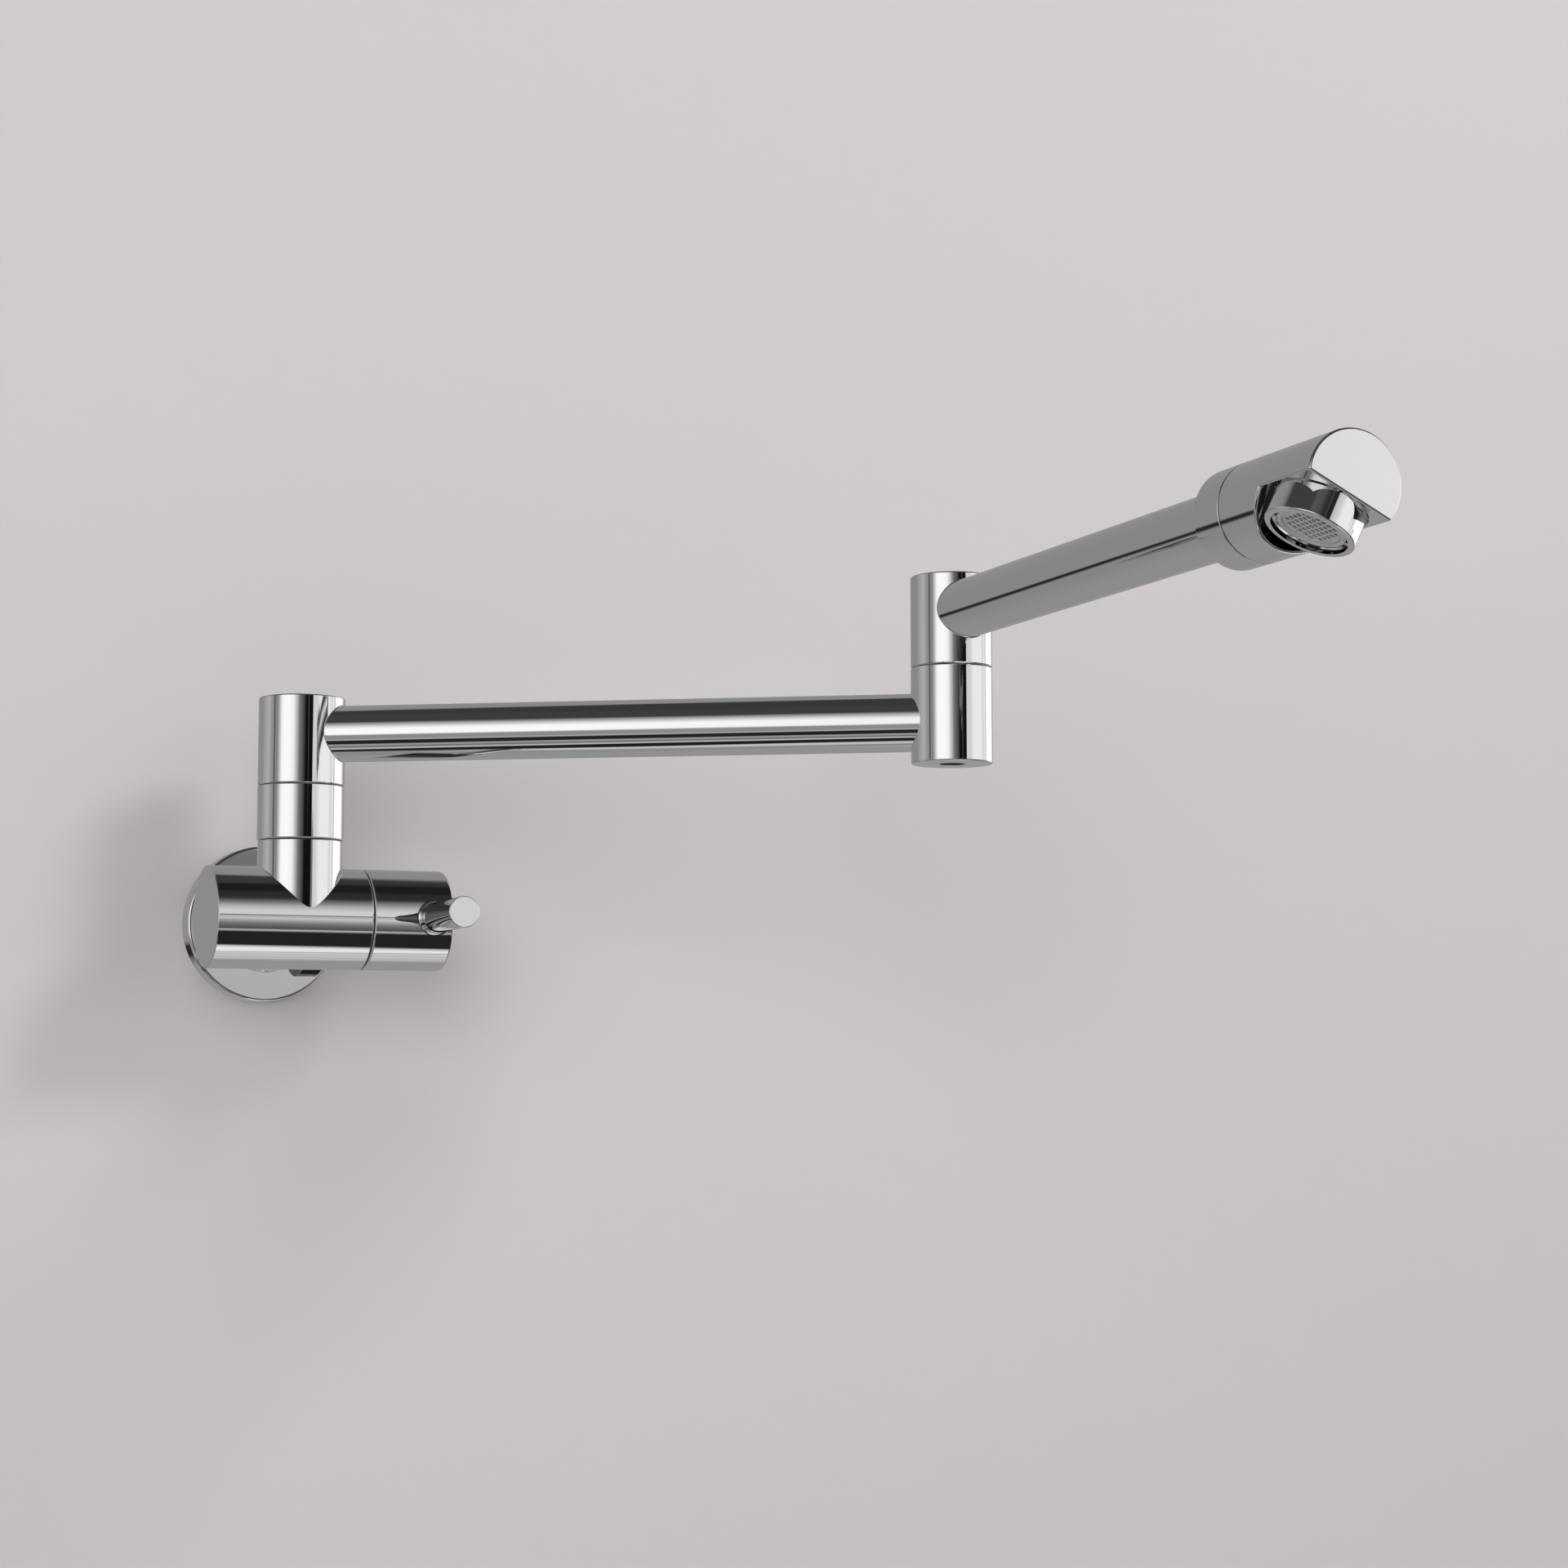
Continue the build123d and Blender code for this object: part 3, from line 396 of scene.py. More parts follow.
# Finish with a slow colour change, a fine roughness change and a fine bump. The settings are the same for every
# material: two colours, roughness from and to, sizes of the patterns in metres and the bump's height.
def finish(name, settings):
    material = bpy.data.materials.new(name)
    shader = Shader(material)
    position = shader.position()
    cloud = shader.noise(position, 1 / settings["cloudSize"], pattern["cloudDetail"])
    grain = shader.noise(position, 1 / settings["grainSize"], pattern["grainDetail"], pattern["grainRoughness"])
    colour = shader.blend(cloud, settings["colour"], settings["otherColour"])
    low, high = settings["roughness"]
    roughness = grain * (high - low) + low
    bump = shader.node("ShaderNodeBump", None, Strength=1.0, Distance=settings["height"], Height=grain)
    surface = shader.node("ShaderNodeBsdfPrincipled", None, Base_Color=colour, Roughness=roughness,
                          Normal=bump.outputs[0])
    surface.inputs["Metallic"].default_value = settings.get("metallic", 0.0)
    surface.inputs["IOR"].default_value = pattern["ior"]
    shader.node("ShaderNodeOutputMaterial", None, surface.outputs[0])
    return material


chromeSettings = {
    "colour": (0.632, 0.635, 0.638, 1), "otherColour": (0.645, 0.645, 0.645, 1), "metallic": 1.0,
    "roughness": (0.025, 0.05), "cloudSize": 0.05, "grainSize": 0.0012, "height": 2e-8,
}
finishes = {
    "chrome_cast": chromeSettings,
    "chrome_tube": chromeSettings,
    "chrome_aerator": dict(chromeSettings, roughness=(0.03, 0.06)),
    "brass": {"colour": (0.62, 0.40, 0.16, 1), "otherColour": (0.70, 0.48, 0.22, 1), "metallic": 1.0,
              "roughness": (0.22, 0.36), "cloudSize": 0.012, "grainSize": 0.0006, "height": 4e-6},
    "ceramic": {"colour": (0.84, 0.83, 0.80, 1), "otherColour": (0.90, 0.89, 0.86, 1),
                "roughness": (0.12, 0.2), "cloudSize": 0.006, "grainSize": 0.0003, "height": 1e-6},
    # near-black finish that paints the shade inside the hole under the elbow
    "painted_shade_bore": {"colour": (0.03, 0.03, 0.03, 1), "otherColour": (0.05, 0.05, 0.05, 1),
                  "roughness": (0.6, 0.8), "cloudSize": 0.004, "grainSize": 0.0004, "height": 4e-6},
    "rubber": {"colour": (0.016, 0.016, 0.017, 1), "otherColour": (0.03, 0.03, 0.031, 1),
               "roughness": (0.5, 0.7), "cloudSize": 0.008, "grainSize": 0.0004, "height": 6e-6},
    "stainless": {"colour": (0.55, 0.54, 0.52, 1), "otherColour": (0.62, 0.61, 0.59, 1), "metallic": 1.0,
                  "roughness": (0.2, 0.34), "cloudSize": 0.004, "grainSize": 0.0003, "height": 2e-6},
    "slide_plastic": {"colour": (0.02, 0.02, 0.021, 1), "otherColour": (0.034, 0.034, 0.035, 1),
                      "roughness": (0.35, 0.5), "cloudSize": 0.006, "grainSize": 0.0004, "height": 4e-6},
    "nylon": {"colour": (0.72, 0.71, 0.67, 1), "otherColour": (0.78, 0.77, 0.73, 1),
              "roughness": (0.4, 0.55), "cloudSize": 0.006, "grainSize": 0.0005, "height": 5e-6},
    "aerator_plastic": {"colour": (0.45, 0.46, 0.47, 1), "otherColour": (0.52, 0.53, 0.54, 1),
                        "roughness": (0.3, 0.45), "cloudSize": 0.003, "grainSize": 0.0003, "height": 3e-6},
}
materials = {slot: finish(slot, settings) for slot, settings in finishes.items()}
slotOfNode = {part["node"]: part["material_slot"] for part in frame["record"]["subparts"]}
for name, node in frame["nodes"].items():
    for materialSlot in node.material_slots:
        materialSlot.material = materials[slotOfNode[name]]
print("finishes:", len(materials))

# Places of the pieces: along the body, up the post and the elbow, out of and into the wall, along the arms.
bodyAt = place(bodyPoint, up, right)
postAt = place(postBase, right, up)
wallAt = place((0, 0, 0), right, -back)
inletAt = place((0, 0, 0), right, back)
elbowAt = place(elbowPoint * (1, 1, 0), right, up)
arm1At = place(postPoint, up, arm1Along)
arm2At = place(arm2Start, up, arm2Along)

# Flange: a cup over the hole in the wall, with a boss round its bore.
flange = {"bore": 19.65, "wall": 2.0, "web": 2.5, "boss": 3.6, "bossBack": 3.6, "frontRound": 1.2,
          "webRound": 0.4, "edge": 0.12, "around": 256}
flangeLow, flangeHigh = nodeBox("wall_flange")
rim, depth, edge = flangeHigh[0], -flangeLow[1], flange["edge"]
cupWall, cupFloor, boss = rim - flange["wall"], depth - flange["web"], flange["bore"] + flange["boss"]
flangeShape = turned([
    (flange["bore"], depth, edge), (rim, depth, flange["frontRound"]), (rim, 0, edge), (cupWall, 0, edge),
    (cupWall, cupFloor, flange["webRound"]), (boss, cupFloor, flange["webRound"]),
    (boss, flange["bossBack"], edge), (flange["bore"], flange["bossBack"], edge),
], wallAt, around=flange["around"])
addPiece("flange_cover", flangeShape, "valve", materials["chrome_cast"], ["wall_flange"])

# Sleeve: a ring whose upper bore is wider, down to the seat.
sleeve = {"bore": 10.6, "seatBore": 13.6, "seatDepth": 6.2, "round": 0.3, "edge": 0.1}
sleeveLow, sleeveHigh = nodeBox("post_sleeve")
postRadius = (sleeveHigh[0] - sleeveLow[0]) / 2
low, high, edge = sleeveLow[2], sleeveHigh[2], sleeve["edge"]
seat = high - sleeve["seatDepth"]
sleeveShape = turned([
    (sleeve["bore"], low, edge), (postRadius, low, sleeve["round"]), (postRadius, high, sleeve["round"]),
    (sleeve["seatBore"], high, edge), (sleeve["seatBore"], seat, edge), (sleeve["bore"], seat, edge),
], postAt)
addPiece("sleeve_polished", sleeveShape, "valve", materials["chrome_cast"], ["post_sleeve"])

# Surfaces of the valve body and the handle, from the CAD nodes' boxes and the sizes that a box doesn't give.
casting = {"barrel": 20.0, "neck": 19.5, "stub": 16.5, "bead": 0.35, "endRound": 0.5, "handleRound": 1.3}
lever = {"radius": 6.1, "x": 50.5, "fillet": 1.6, "rise": 1.3, "end": 54.1, "tip": 0.35}
barrel = casting["barrel"]


def endRim(x, inward, rounding):  # rounded end of the barrel at x, inward is +1 or -1 along the axis
    return rimSurface(bodyPoint + (x + inward * rounding) * right, right, barrel - rounding, rounding)


bodyLow, bodyHigh = nodeBox("valve_body")
bodySurfaces = [
    roundSurface(bodyPoint, right, barrel),
    roundSurface(postBase, up, casting["stub"]),
    roundSurface(bodyPoint, back, casting["neck"]),
    flatSurface((bodyLow[0], 0, 0), -right),
    flatSurface((bodyHigh[0], 0, 0), right),
    flatSurface((0, 0, bodyHigh[2]), up),
    endRim(bodyLow[0], 1, casting["endRound"]),
    endRim(bodyHigh[0], -1, casting["endRound"]),
]
beads = together(
    bead(casting["stub"], barrel, casting["bead"], place(bodyPoint, right, up), postBase[1] - bodyPoint[1]),
    bead(casting["neck"], barrel, casting["bead"], place(bodyPoint, right, back)),
)
polishedCopy("valve_body", "body_casting", bodySurfaces, materials["chrome_cast"], beads)

leverRise = math.radians(lever["rise"])
leverAlong = -math.cos(leverRise) * back + math.sin(leverRise) * up
leverPoint = bodyPoint + lever["x"] * right
handleLow, handleHigh = nodeBox("handle")
handleSurfaces = [
    roundSurface(bodyPoint, right, barrel),
    roundSurface(leverPoint, leverAlong, lever["radius"]),
    flatSurface((handleLow[0], 0, 0), -right),
    flatSurface((handleHigh[0], 0, 0), right),
    flatSurface(leverPoint + lever["end"] * leverAlong, leverAlong),
    endRim(handleHigh[0], -1, casting["handleRound"]),
    endRim(handleLow[0], 1, casting["endRound"]),
    rimSurface(leverPoint + (lever["end"] - lever["tip"]) * leverAlong, leverAlong,
               lever["radius"] - lever["tip"], lever["tip"]),
    beadSurface(lever["radius"], barrel, lever["fillet"], place(leverPoint, right, leverAlong)),
]
polishedCopy("handle", "handle_casting", handleSurfaces, materials["chrome_cast"])

# The three hubs: cylinders with both rims rounded.
elbowRadius = 15.5
hubRound = 0.6
hubs = {
    "post_hub": (postBase, postRadius, "post_hub_polished"),
    "elbow_lower_hub": (elbowPoint * (1, 1, 0), elbowRadius, "elbow_lower_polished"),
    "elbow_upper_hub": (elbowPoint * (1, 1, 0), elbowRadius, "elbow_upper_polished"),
}
for node, (origin, radius, name) in hubs.items():
    low, high = nodeBox(node)
    surfaces = [
        roundSurface(origin, up, radius),
        flatSurface(low, -up),
        flatSurface(high, up),
        rimSurface(origin + (high[2] - hubRound) * up, up, radius - hubRound, hubRound),
        rimSurface(origin + (low[2] + hubRound) * up, up, radius - hubRound, hubRound),
    ]
    polishedCopy(node, name, surfaces, materials["chrome_cast"])

tube = {"radius": 11.1, "wall": 1.5, "seat": 10.75, "collarSeat": 215.95, "bead": 0.5, "edge": 0.1}


# Tube: a rectangle between its inner and outer radius, turned round the arm's axis.
def tubeShape(start, end, at):
    inner, outer, edge = tube["radius"] - tube["wall"], tube["radius"], tube["edge"]
    return turned([(inner, start, edge), (outer, start, edge), (outer, end, edge), (inner, end, edge)], at)


# Bead where a tube leaves a hub: the hub's axis is the barrel, the tube the branch.
def tubeBead(point, hubRadius, along):
    return bead(tube["radius"], hubRadius, tube["bead"], place(point, up, along))


arm1 = together(
    tubeShape(tube["seat"], armPitch - tube["seat"], arm1At),
    tubeBead(postPoint, postRadius, arm1Along),
    tubeBead(postPoint + armPitch * arm1Along, elbowRadius, -arm1Along),
)
addPiece("arm_1_polished", arm1, "arm_1", materials["chrome_tube"], ["arm_1_tube"])
arm2 = together(
    tubeShape(tube["seat"], tube["collarSeat"], arm2At),
    tubeBead(arm2Start, elbowRadius, arm2Along),
)
addPiece("arm_2_polished", arm2, "arm_2", materials["chrome_tube"], ["arm_2_tube"])

# Collar: socket for the tube at its back, spigot for the head at its front, a waterway through it.
collar = {"radius": 16.25, "start": 206.9, "face": 221.275, "spigot": 10.0, "end": 236.0, "seat": 216.0,
          "way": 6.0, "play": 0.05, "round": 0.25, "spigotRoot": 0.15, "spigotRound": 0.2, "edge": 0.1}
socket, edge = tube["radius"] + collar["play"], collar["edge"]
collarShape = turned([
    (socket, collar["start"], edge),
    (collar["radius"], collar["start"], collar["round"]),
    (collar["radius"], collar["face"], collar["round"]),
    (collar["spigot"], collar["face"], collar["spigotRoot"]),
    (collar["spigot"], collar["end"], collar["spigotRound"]),
    (collar["way"], collar["end"], edge),
    (collar["way"], collar["seat"], edge),
    (socket, collar["seat"], edge),
], arm2At)
addPiece("collar_polished", collarShape, "arm_2", materials["chrome_cast"], ["head_collar"])

# Spout head: a cylinder along the arm with a flat and a round pocket under it, all edges rounded alike.
head = {"radius": 16.25, "back": 221.725, "end": 272.5, "pocket": 18.7, "round": 0.8}
headRound = head["round"]
endCentre = arm2Start + (head["end"] - headRound) * arm2Along
headSurfaces = [
    roundSurface(arm2Start, arm2Along, head["radius"]),
    flatSurface(arm2Start + head["end"] * arm2Along, arm2Along),
    flatSurface(arm2Start + head["back"] * arm2Along, -arm2Along),
    flatSurface(aeratorPoint, -headUp),
    roundSurface(aeratorPoint, headUp, head["pocket"], hollow=True),
    rimSurface(endCentre, arm2Along, head["radius"] - headRound, headRound),
    rimSurface(aeratorPoint + headRound * headUp, headUp, head["pocket"] + headRound, headRound),
    roundSurface(endCentre - (headDrop - headRound) * headUp, headSide, headRound),
]
chordHalf = math.sqrt((head["radius"] - headRound) ** 2 - (headDrop - headRound) ** 2)
for side in (-1, 1):
    edgePoint = arm2Start - (headDrop - headRound) * headUp + side * chordHalf * headSide
    headSurfaces.append(roundSurface(edgePoint, arm2Along, headRound))
polishedCopy("spout_head", "head_polished", headSurfaces, materials["chrome_cast"])

aerator = {"radius": 14.25, "drop": 10.0, "bore": 11.0, "lipBore": 12.2, "round": 0.6}
ringEdge = aeratorPoint - aerator["drop"] * headUp
aeratorSurfaces = [
    roundSurface(aeratorPoint, headUp, aerator["radius"]),
    roundSurface(aeratorPoint, headUp, aerator["bore"], hollow=True),
    roundSurface(aeratorPoint, headUp, aerator["lipBore"], hollow=True),
    flatSurface(ringEdge, -headUp),
    rimSurface(ringEdge + aerator["round"] * headUp, headUp, aerator["radius"] - aerator["round"],
               aerator["round"]),
]
polishedCopy("aerator_ring", "aerator_polished", aeratorSurfaces, materials["chrome_aerator"])

# Inlet nipple: stub with grooves, hexagon and thread, from the room to the wall. Heights run into the wall.
nipple = {"start": -29.0, "front": -10.5, "back": -5.5, "tail": 14.0, "way": 6.0, "stub": 12.0, "stubRound": 0.9,
          "flats": 13.0, "corner": 14.2, "chamfer": 0.9, "chamferIn": 0.1, "thread": 10.48, "pitch": 1.814,
          "depth": 1.16, "plainEnd": 1.0, "lead": 0.9, "edge": 0.1, "crease": 38}
nippleGrooves = [(-26.0, 2.3, 1.85), (-20.0, 2.3, 1.85), (-15.0, 5.6, 1.2)]  # middle, width, depth


# Grid of rings round Z: the reach is a function of height (rows) and angle (columns).
def ringGrid(reach, height, angle, at):
    points = np.stack([reach * np.cos(angle), reach * np.sin(angle), height[:, None] + 0 * reach], axis=-1)
    points = points.reshape(-1, 3)
    return moved((points, gridFaces(len(height), len(angle)), points), at)


# Thread: the outer surface sinks below the crest by a rounded saw of the pitch, which climbs once in a turn. It
# fades out over one pitch at both ends, and a lead chamfer takes the last ring in.
def threaded(s, at, rows=260, around=96):
    angle = np.linspace(0, 2 * np.pi, around, endpoint=False)
    height = np.linspace(s["back"], s["tail"], rows)
    wave = 0.5 - 0.5 * np.cos(2 * np.pi * (height[:, None] / s["pitch"] - angle / (2 * np.pi)))
    fadeIn = np.clip((height - s["back"] - s["plainEnd"]) / s["pitch"], 0, 1)
    fadeOut = np.clip((s["tail"] - height) / s["pitch"], 0, 1)
    lead = np.clip(s["lead"] - (s["tail"] - height), 0, 1)
    reach = s["thread"] - np.maximum(s["depth"] * wave * (fadeIn * fadeOut)[:, None], lead[:, None])
    ends = np.full(around, s["way"])
    height = np.concatenate([[s["back"]], height, [s["tail"]]])
    return ringGrid(np.vstack([ends, reach, ends]), height, angle, at)


# Hexagon: the outer surface lies on the flats, cut by a round chamfer.
def hexagonRing(s, at, around=240):
    angle = np.linspace(0, 2 * np.pi, around, endpoint=False)
    flats = s["flats"] / np.cos(np.mod(angle, np.pi / 3) - np.pi / 6)
    low, high, cut, rim = s["front"], s["back"], s["chamfer"], s["flats"] - s["chamferIn"]
    limits = np.array([s["way"], rim, s["corner"], s["corner"], rim, s["way"]])
    height = np.array([low, low, low + cut, high - cut, high, high])
    return ringGrid(np.minimum(limits[:, None], flats), height, angle, at)


way, stub, edge = nipple["way"], nipple["stub"], nipple["edge"]
stubOutline = [(way, nipple["start"], edge), (stub, nipple["start"], nipple["stubRound"])]
for middle, width, sunk in nippleGrooves:
    low, high, floor = middle - width / 2, middle + width / 2, stub - sunk
    stubOutline += [(stub, low, edge), (floor, low, edge), (floor, high, edge), (stub, high, edge)]
stubOutline += [(stub, nipple["front"], edge), (way, nipple["front"], edge)]
inletStub = turned(stubOutline, inletAt, around=96)
inlet = together(inletStub, hexagonRing(nipple, inletAt), threaded(nipple, inletAt))
addPiece("inlet_nipple_threaded", inlet, "valve", materials["brass"], ["inlet_nipple"],
         sharp=nipple["crease"])

# Painted shade in the hole under the elbow: a near-black sleeve just inside the hub's bore that stands in for
# the shade inside the hole.
holeWall = {"inner": 4.88, "outer": 4.98, "from": 0.04, "to": 4.2, "edge": 0.02}
elbowLow = nodeBox("elbow_lower_hub")[0][2]
low, high, edge = elbowLow + holeWall["from"], elbowLow + holeWall["to"], holeWall["edge"]
hole = turned([
    (holeWall["inner"], low, edge), (holeWall["outer"], low, edge), (holeWall["outer"], high, edge),
    (holeWall["inner"], high, edge),
], elbowAt, around=96)
addPiece("elbow_hole_wall", hole, "arm_1", materials["painted_shade_bore"])

# Thin black rings that fill the seams almost to the surface, painted shade for the dark gap of each seam: place,
# low and high end, inner and outer radius, and the body each one rides on.
seamShadeEdge = {"inner": 0.05, "outer": 0.1}
seamRings = {
    "sleeve_seam": (postAt, 30.15, 30.55, 15.0, 16.15, "valve"),
    "post_seam": (postAt, 51.65, 52.0, 15.0, 16.45, "valve"),
    "elbow_seam": (elbowAt, 92.68, 93.02, 13.9, 15.1, "arm_2"),
    "head_seam": (arm2At, 221.33, 221.67, 14.6, 15.85, "arm_2"),
    "handle_seam": (bodyAt, 25.45, 26.05, 17.0, 19.5, "valve"),
}
for name, (at, low, high, inner, outer, body) in seamRings.items():
    ring = turned([
        (inner, low, seamShadeEdge["inner"]), (outer, low, seamShadeEdge["outer"]), (outer, high, seamShadeEdge["outer"]),
        (inner, high, seamShadeEdge["inner"]),
    ], at)
    addPiece(name, ring, body, materials["rubber"])

# In the studio only these pieces are mirrored by others, which keeps the first arm and the post clean.
mirrored = ("handle_casting", "arm_2_polished", "collar_polished", "head_polished", "aerator_polished")
for piece in bpy.context.scene.objects:
    piece.visible_glossy = piece.name in mirrored
print("pieces ready")

chromeReflects = 0.64


# Radiance that chrome shows as this display level: the display's curve undone, over the share that is reflected.
def seen(level):
    share = level / 255
    return ((share + 0.055) / 1.055) ** 2.4 / chromeReflects


# The studio around the tap: soft boxes, black flags and the dark ceiling, each between two azimuths and two
# elevations, with the width of its soft edges. Azimuth 0 looks into the wall and 90 to the right. Light is
# the radiance that the chrome mirrors. Later panels lie over earlier ones.
panels = [
    # azimuths, their edges, elevations, their edges, light
    ("wallRight", (45, 62), (40, 30), (-30, 40), (30, 30), seen(172)),
    ("wallGrazing", (-30, 45), (20, 16), (-50, 50), (20, 20), seen(131)),
    ("horizonLine", (-44, -6), (6, 10), (-10.5, -5), (3, 2), seen(38)),
    ("wallLeft", (277, 314), (3, 30), (-60, 60), (30, 30), seen(140)),
    ("wallLeftCore", (287, 310), (12, 24), (-60, 60), (30, 30), seen(168)),
    ("rightBox", (57, 158), (16, 14), (-12, 60), (24, 10), seen(232)),
    ("rightBoxCore", (60, 96), (10, 3), (-12, 60), (24, 10), seen(253)),
    ("windowPost", (97, 100), (3, 3), (-12, 60), (10, 10), seen(165)),
    ("windowShade", (106, 114), (6, 8), (-12, 60), (10, 10), seen(210)),
    ("rightBoxEdge", (150, 170), (14, 4), (-8, 30), (16, 10), seen(204)),
    ("blackFlag", (166.3, 206), (1.2, 6), (-25, 34), (6, 6), seen(16)),
    ("flangeShade", (161.9, 166.8), (0.8, 0.4), (2.4, 4.7), (1.6, 0.5), seen(110)),
    ("flangeFoot", (161.9, 166.8), (0.8, 0.4), (-1.5, 2.4), (1.5, 1.6), seen(172)),
    ("flagLine", (177, 178.6), (1.5, 1.5), (5.5, 34), (3, 6), seen(80)),
    ("flagFade", (194, 264), (17, 10), (-12, 60), (8, 10), seen(114)),
    ("leftBox", (210, 257), (16, 14), (-9, 60), (8, 10), seen(234)),
    ("leftBoxCore", (222, 249), (14, 10), (-9, 60), (8, 10), seen(249)),
    ("leftCard", (271.6, 274.8), (4, 2), (-60, 50), (10, 10), seen(40)),
    ("farFloor", (198, 300), (10, 20), (-32, -12), (2, 8), seen(138)),
    ("farFloorRight", (80, 190), (20, 10), (-30, -14), (2, 22), seen(78)),
    ("ceiling", (60, 312), (40, 30), (27, 100), (28, 1), seen(60)),
    ("ceilingBack", (-180, 180), (1, 1), (68, 100), (6, 1), seen(55)),
    ("ceilingRight", (80, 168), (30, 4), (40, 72), (10, 6), seen(42)),
    ("ceilingBlack", (110, 160), (20, 4), (56, 72), (6, 3), seen(28)),
    ("skirtLine", (90, 300), (20, 20), (-30, -27), (2, 2), seen(172)),
    ("dark", (80, 310), (30, 20), (-63, -31.5), (4, 3), seen(33)),
    ("table", (195, 300), (10, 20), (-65, -46), (3, 3), seen(148)),
    ("tableLine", (195, 300), (10, 20), (-58, -53), (2, 2), seen(105)),
    ("tableEdge", (195, 300), (10, 20), (-64.5, -61), (2, 1.5), seen(182)),
    ("floorRight", (20, 172), (30, 8), (-100, -65), (1, 6), seen(228)),
    ("floorMiddle", (30, 112), (30, 8), (-100, -60), (1, 12), seen(196)),
    ("floorStripeA", (104, 108), (3, 3), (-100, -66), (1, 6), seen(150)),
    ("floorStripeB", (76, 81), (4, 4), (-100, -66), (1, 6), seen(158)),
    ("floorStripeC", (54, 60), (6, 6), (-100, -60), (1, 6), seen(165)),
    ("wallFoot", (-20, 45), (30, 30), (-70, -30), (12, 24), seen(142)),
    ("floorLeft", (262, 330), (8, 30), (-100, -75), (1, 3), seen(190)),
    ("floorGap", (200, 285), (20, 14), (-78, -65.5), (3, 2), seen(28)),
]

roomLevel = 134  # where no panel is
backdropColour = (0.62, 0.59, 0.61, 1.0)  # what the camera sees past the sheets
world = bpy.data.worlds.new("studio")
bpy.context.scene.world = world
sky = Shader(world)
direction = sky.node("ShaderNodeTexCoord").outputs["Generated"]
split = sky.node("ShaderNodeSeparateXYZ", None, direction)
x, y, z = (Value(sky, socket) for socket in split.outputs)
azimuth = x.math("ARCTAN2", y) * (180 / math.pi)
elevation = z.math("ARCSINE") * (180 / math.pi)


def ramp(distance, softness):  # 0 outside, 1 inside, straight between
    return distance.math("MULTIPLY_ADD", 1 / softness, 0.5, clamp=True)


light = seen(roomLevel)
for name, (azFrom, azTo), (softFrom, softTo), (elFrom, elTo), (softLow, softHigh), strength in panels:
    middle, half = (azFrom + azTo) / 2, (azTo - azFrom) / 2
    across = (azimuth - middle).math("WRAP", 180.0, -180.0)
    mask = ramp(elevation - elFrom, softLow) * ramp(elTo - elevation, softHigh)
    if half < 179:  # a panel that goes all the way round has no sides
        mask = mask * ramp(across + half, softFrom) * ramp(half - across, softTo)
    light = light + mask * (strength - light)
glow = sky.node("ShaderNodeBackground", None, Strength=light)
glow.inputs["Color"].default_value = (1.0, 1.0, 1.0, 1.0)
plain = sky.node("ShaderNodeBackground", None, Color=backdropColour)
isCamera = sky.node("ShaderNodeLightPath").outputs["Is Camera Ray"]
mixed = sky.node("ShaderNodeMixShader", None, isCamera, glow.outputs[0], plain.outputs[0])
sky.node("ShaderNodeOutputWorld", None, mixed.outputs[0])

stage = {"width": 4.0, "height": 3.0, "floor": -0.55, "depth": 4.0, "gap": 0.0004,
         "wall": (0.66, 0.625, 0.65, 1.0), "floorColour": (0.72, 0.70, 0.71, 1.0),
         "cloudScale": 1.2, "cloudShade": 0.97}


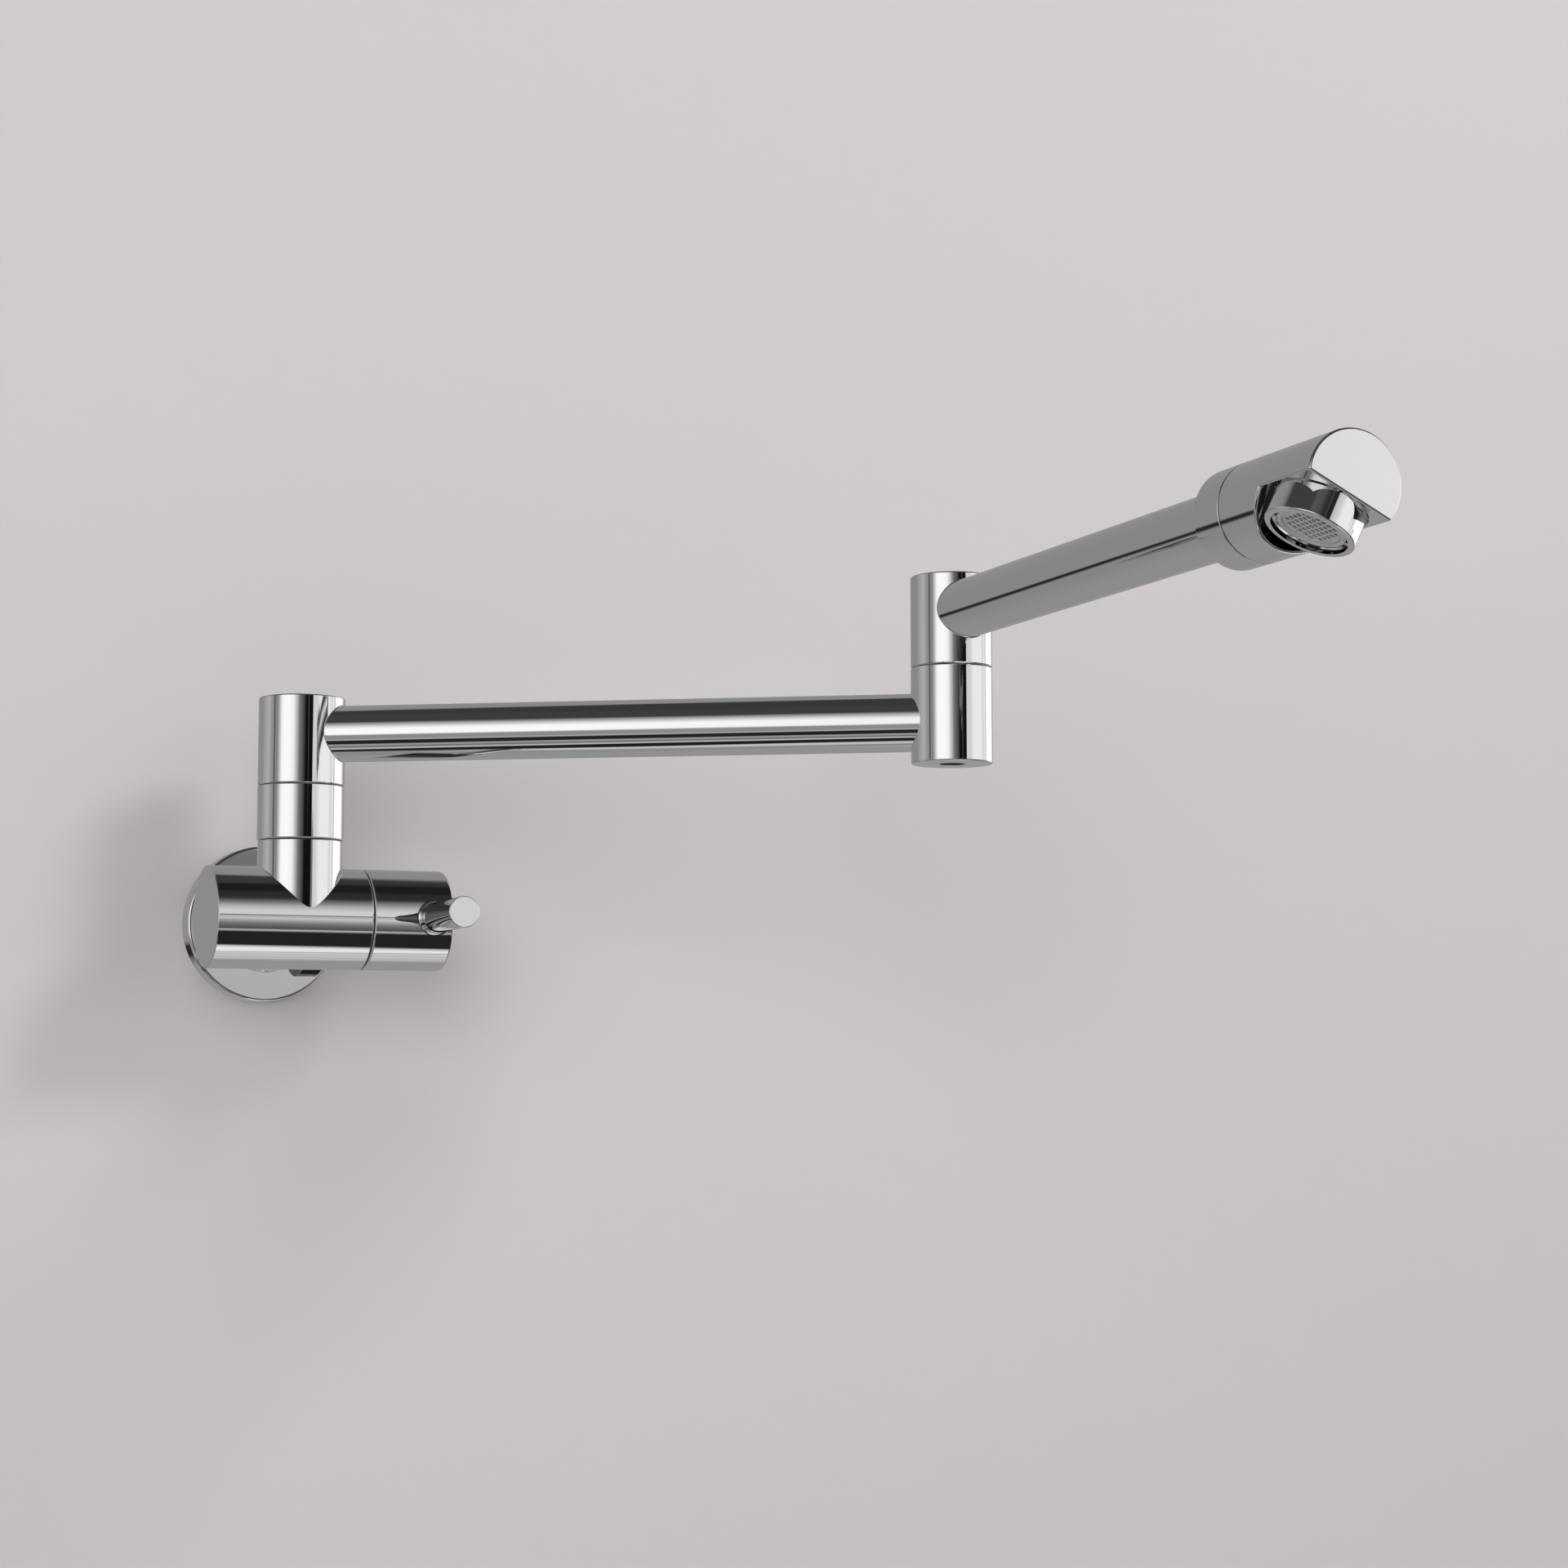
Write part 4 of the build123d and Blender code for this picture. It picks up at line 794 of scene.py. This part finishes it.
# Flat sheet of the stage, from its four corners. A one-sided sheet is clear from behind.
def stageSheet(name, corners, colour, oneSided=False):
    mesh = bpy.data.meshes.new(name)
    mesh.from_pydata(corners, [], [list(range(len(corners)))])
    sheet = bpy.data.objects.new(name, mesh)
    bpy.context.scene.collection.objects.link(sheet)
    material = bpy.data.materials.new(name)
    shader = Shader(material)
    tone = shader.noise(shader.position(), stage["cloudScale"], 1.0)
    tint = shader.blend(tone, colour, tuple(part * stage["cloudShade"] for part in colour[:3]) + (1.0,))
    surface = shader.node("ShaderNodeBsdfDiffuse", None, tint).outputs[0]
    if oneSided:
        backFacing = shader.node("ShaderNodeNewGeometry").outputs["Backfacing"]
        clear = shader.node("ShaderNodeBsdfTransparent").outputs[0]
        surface = shader.node("ShaderNodeMixShader", None, backFacing, surface, clear).outputs[0]
    shader.node("ShaderNodeOutputMaterial", None, surface)
    mesh.materials.append(material)
    sheet.visible_glossy = False
    return sheet


wide, deep = stage["width"], stage["depth"]
stageSheet("wall_sheet", [
    (-wide, stage["gap"], stage["floor"]), (wide, stage["gap"], stage["floor"]),
    (wide, stage["gap"], stage["height"]), (-wide, stage["gap"], stage["height"]),
], stage["wall"], oneSided=True)
stageSheet("floor_sheet", [
    (-wide, -deep, stage["floor"]), (wide, -deep, stage["floor"]),
    (wide, deep, stage["floor"]), (-wide, deep, stage["floor"]),
], stage["floorColour"])


# Round lamp that looks at a point: tilted by the angle from straight down, then turned to it.
def lamp(name, location, target, size, watts):
    data = bpy.data.lights.new(name, "AREA")
    data.shape, data.size, data.energy = "DISK", size, watts
    piece = bpy.data.objects.new(name, data)
    bpy.context.scene.collection.objects.link(piece)
    towards = np.array(target) - np.array(location)
    flat = math.hypot(towards[0], towards[1])
    piece.location = location
    piece.rotation_euler = (math.atan2(flat, -towards[2]), 0, math.atan2(-towards[0], towards[1]))
    piece.visible_glossy = False
    return piece


lamps = {  # where it is, what it looks at, its size and its power
    "key_lamp": ((1.3, -1.6, 1.3), (0.05, 0, 0), 0.6, 17),
    "fill_lamp": ((-0.9, -2.0, 0.5), (-0.1, 0, 0), 1.4, 16),
}
for name, settings in lamps.items():
    lamp(name, *settings)

# The photograph's camera: 0.31 m left of the post, a little below it, looking right and slightly up.
camera = {"location": (-0.3125, -1.1559, -0.055), "turn": 0.445, "rise": 0.09543, "roll": 0.001, "lens": 65.9,
          "sensor": 36}
data = bpy.data.cameras.new("camera")
data.lens, data.sensor_width = camera["lens"], camera["sensor"]
view = bpy.data.objects.new("camera", data)
bpy.context.scene.collection.objects.link(view)
view.location = camera["location"]
view.rotation_euler = (math.pi / 2 + camera["rise"], camera["roll"], -camera["turn"])
bpy.context.scene.camera = view
bpy.context.scene.view_settings.view_transform = "Standard"
print("studio ready")
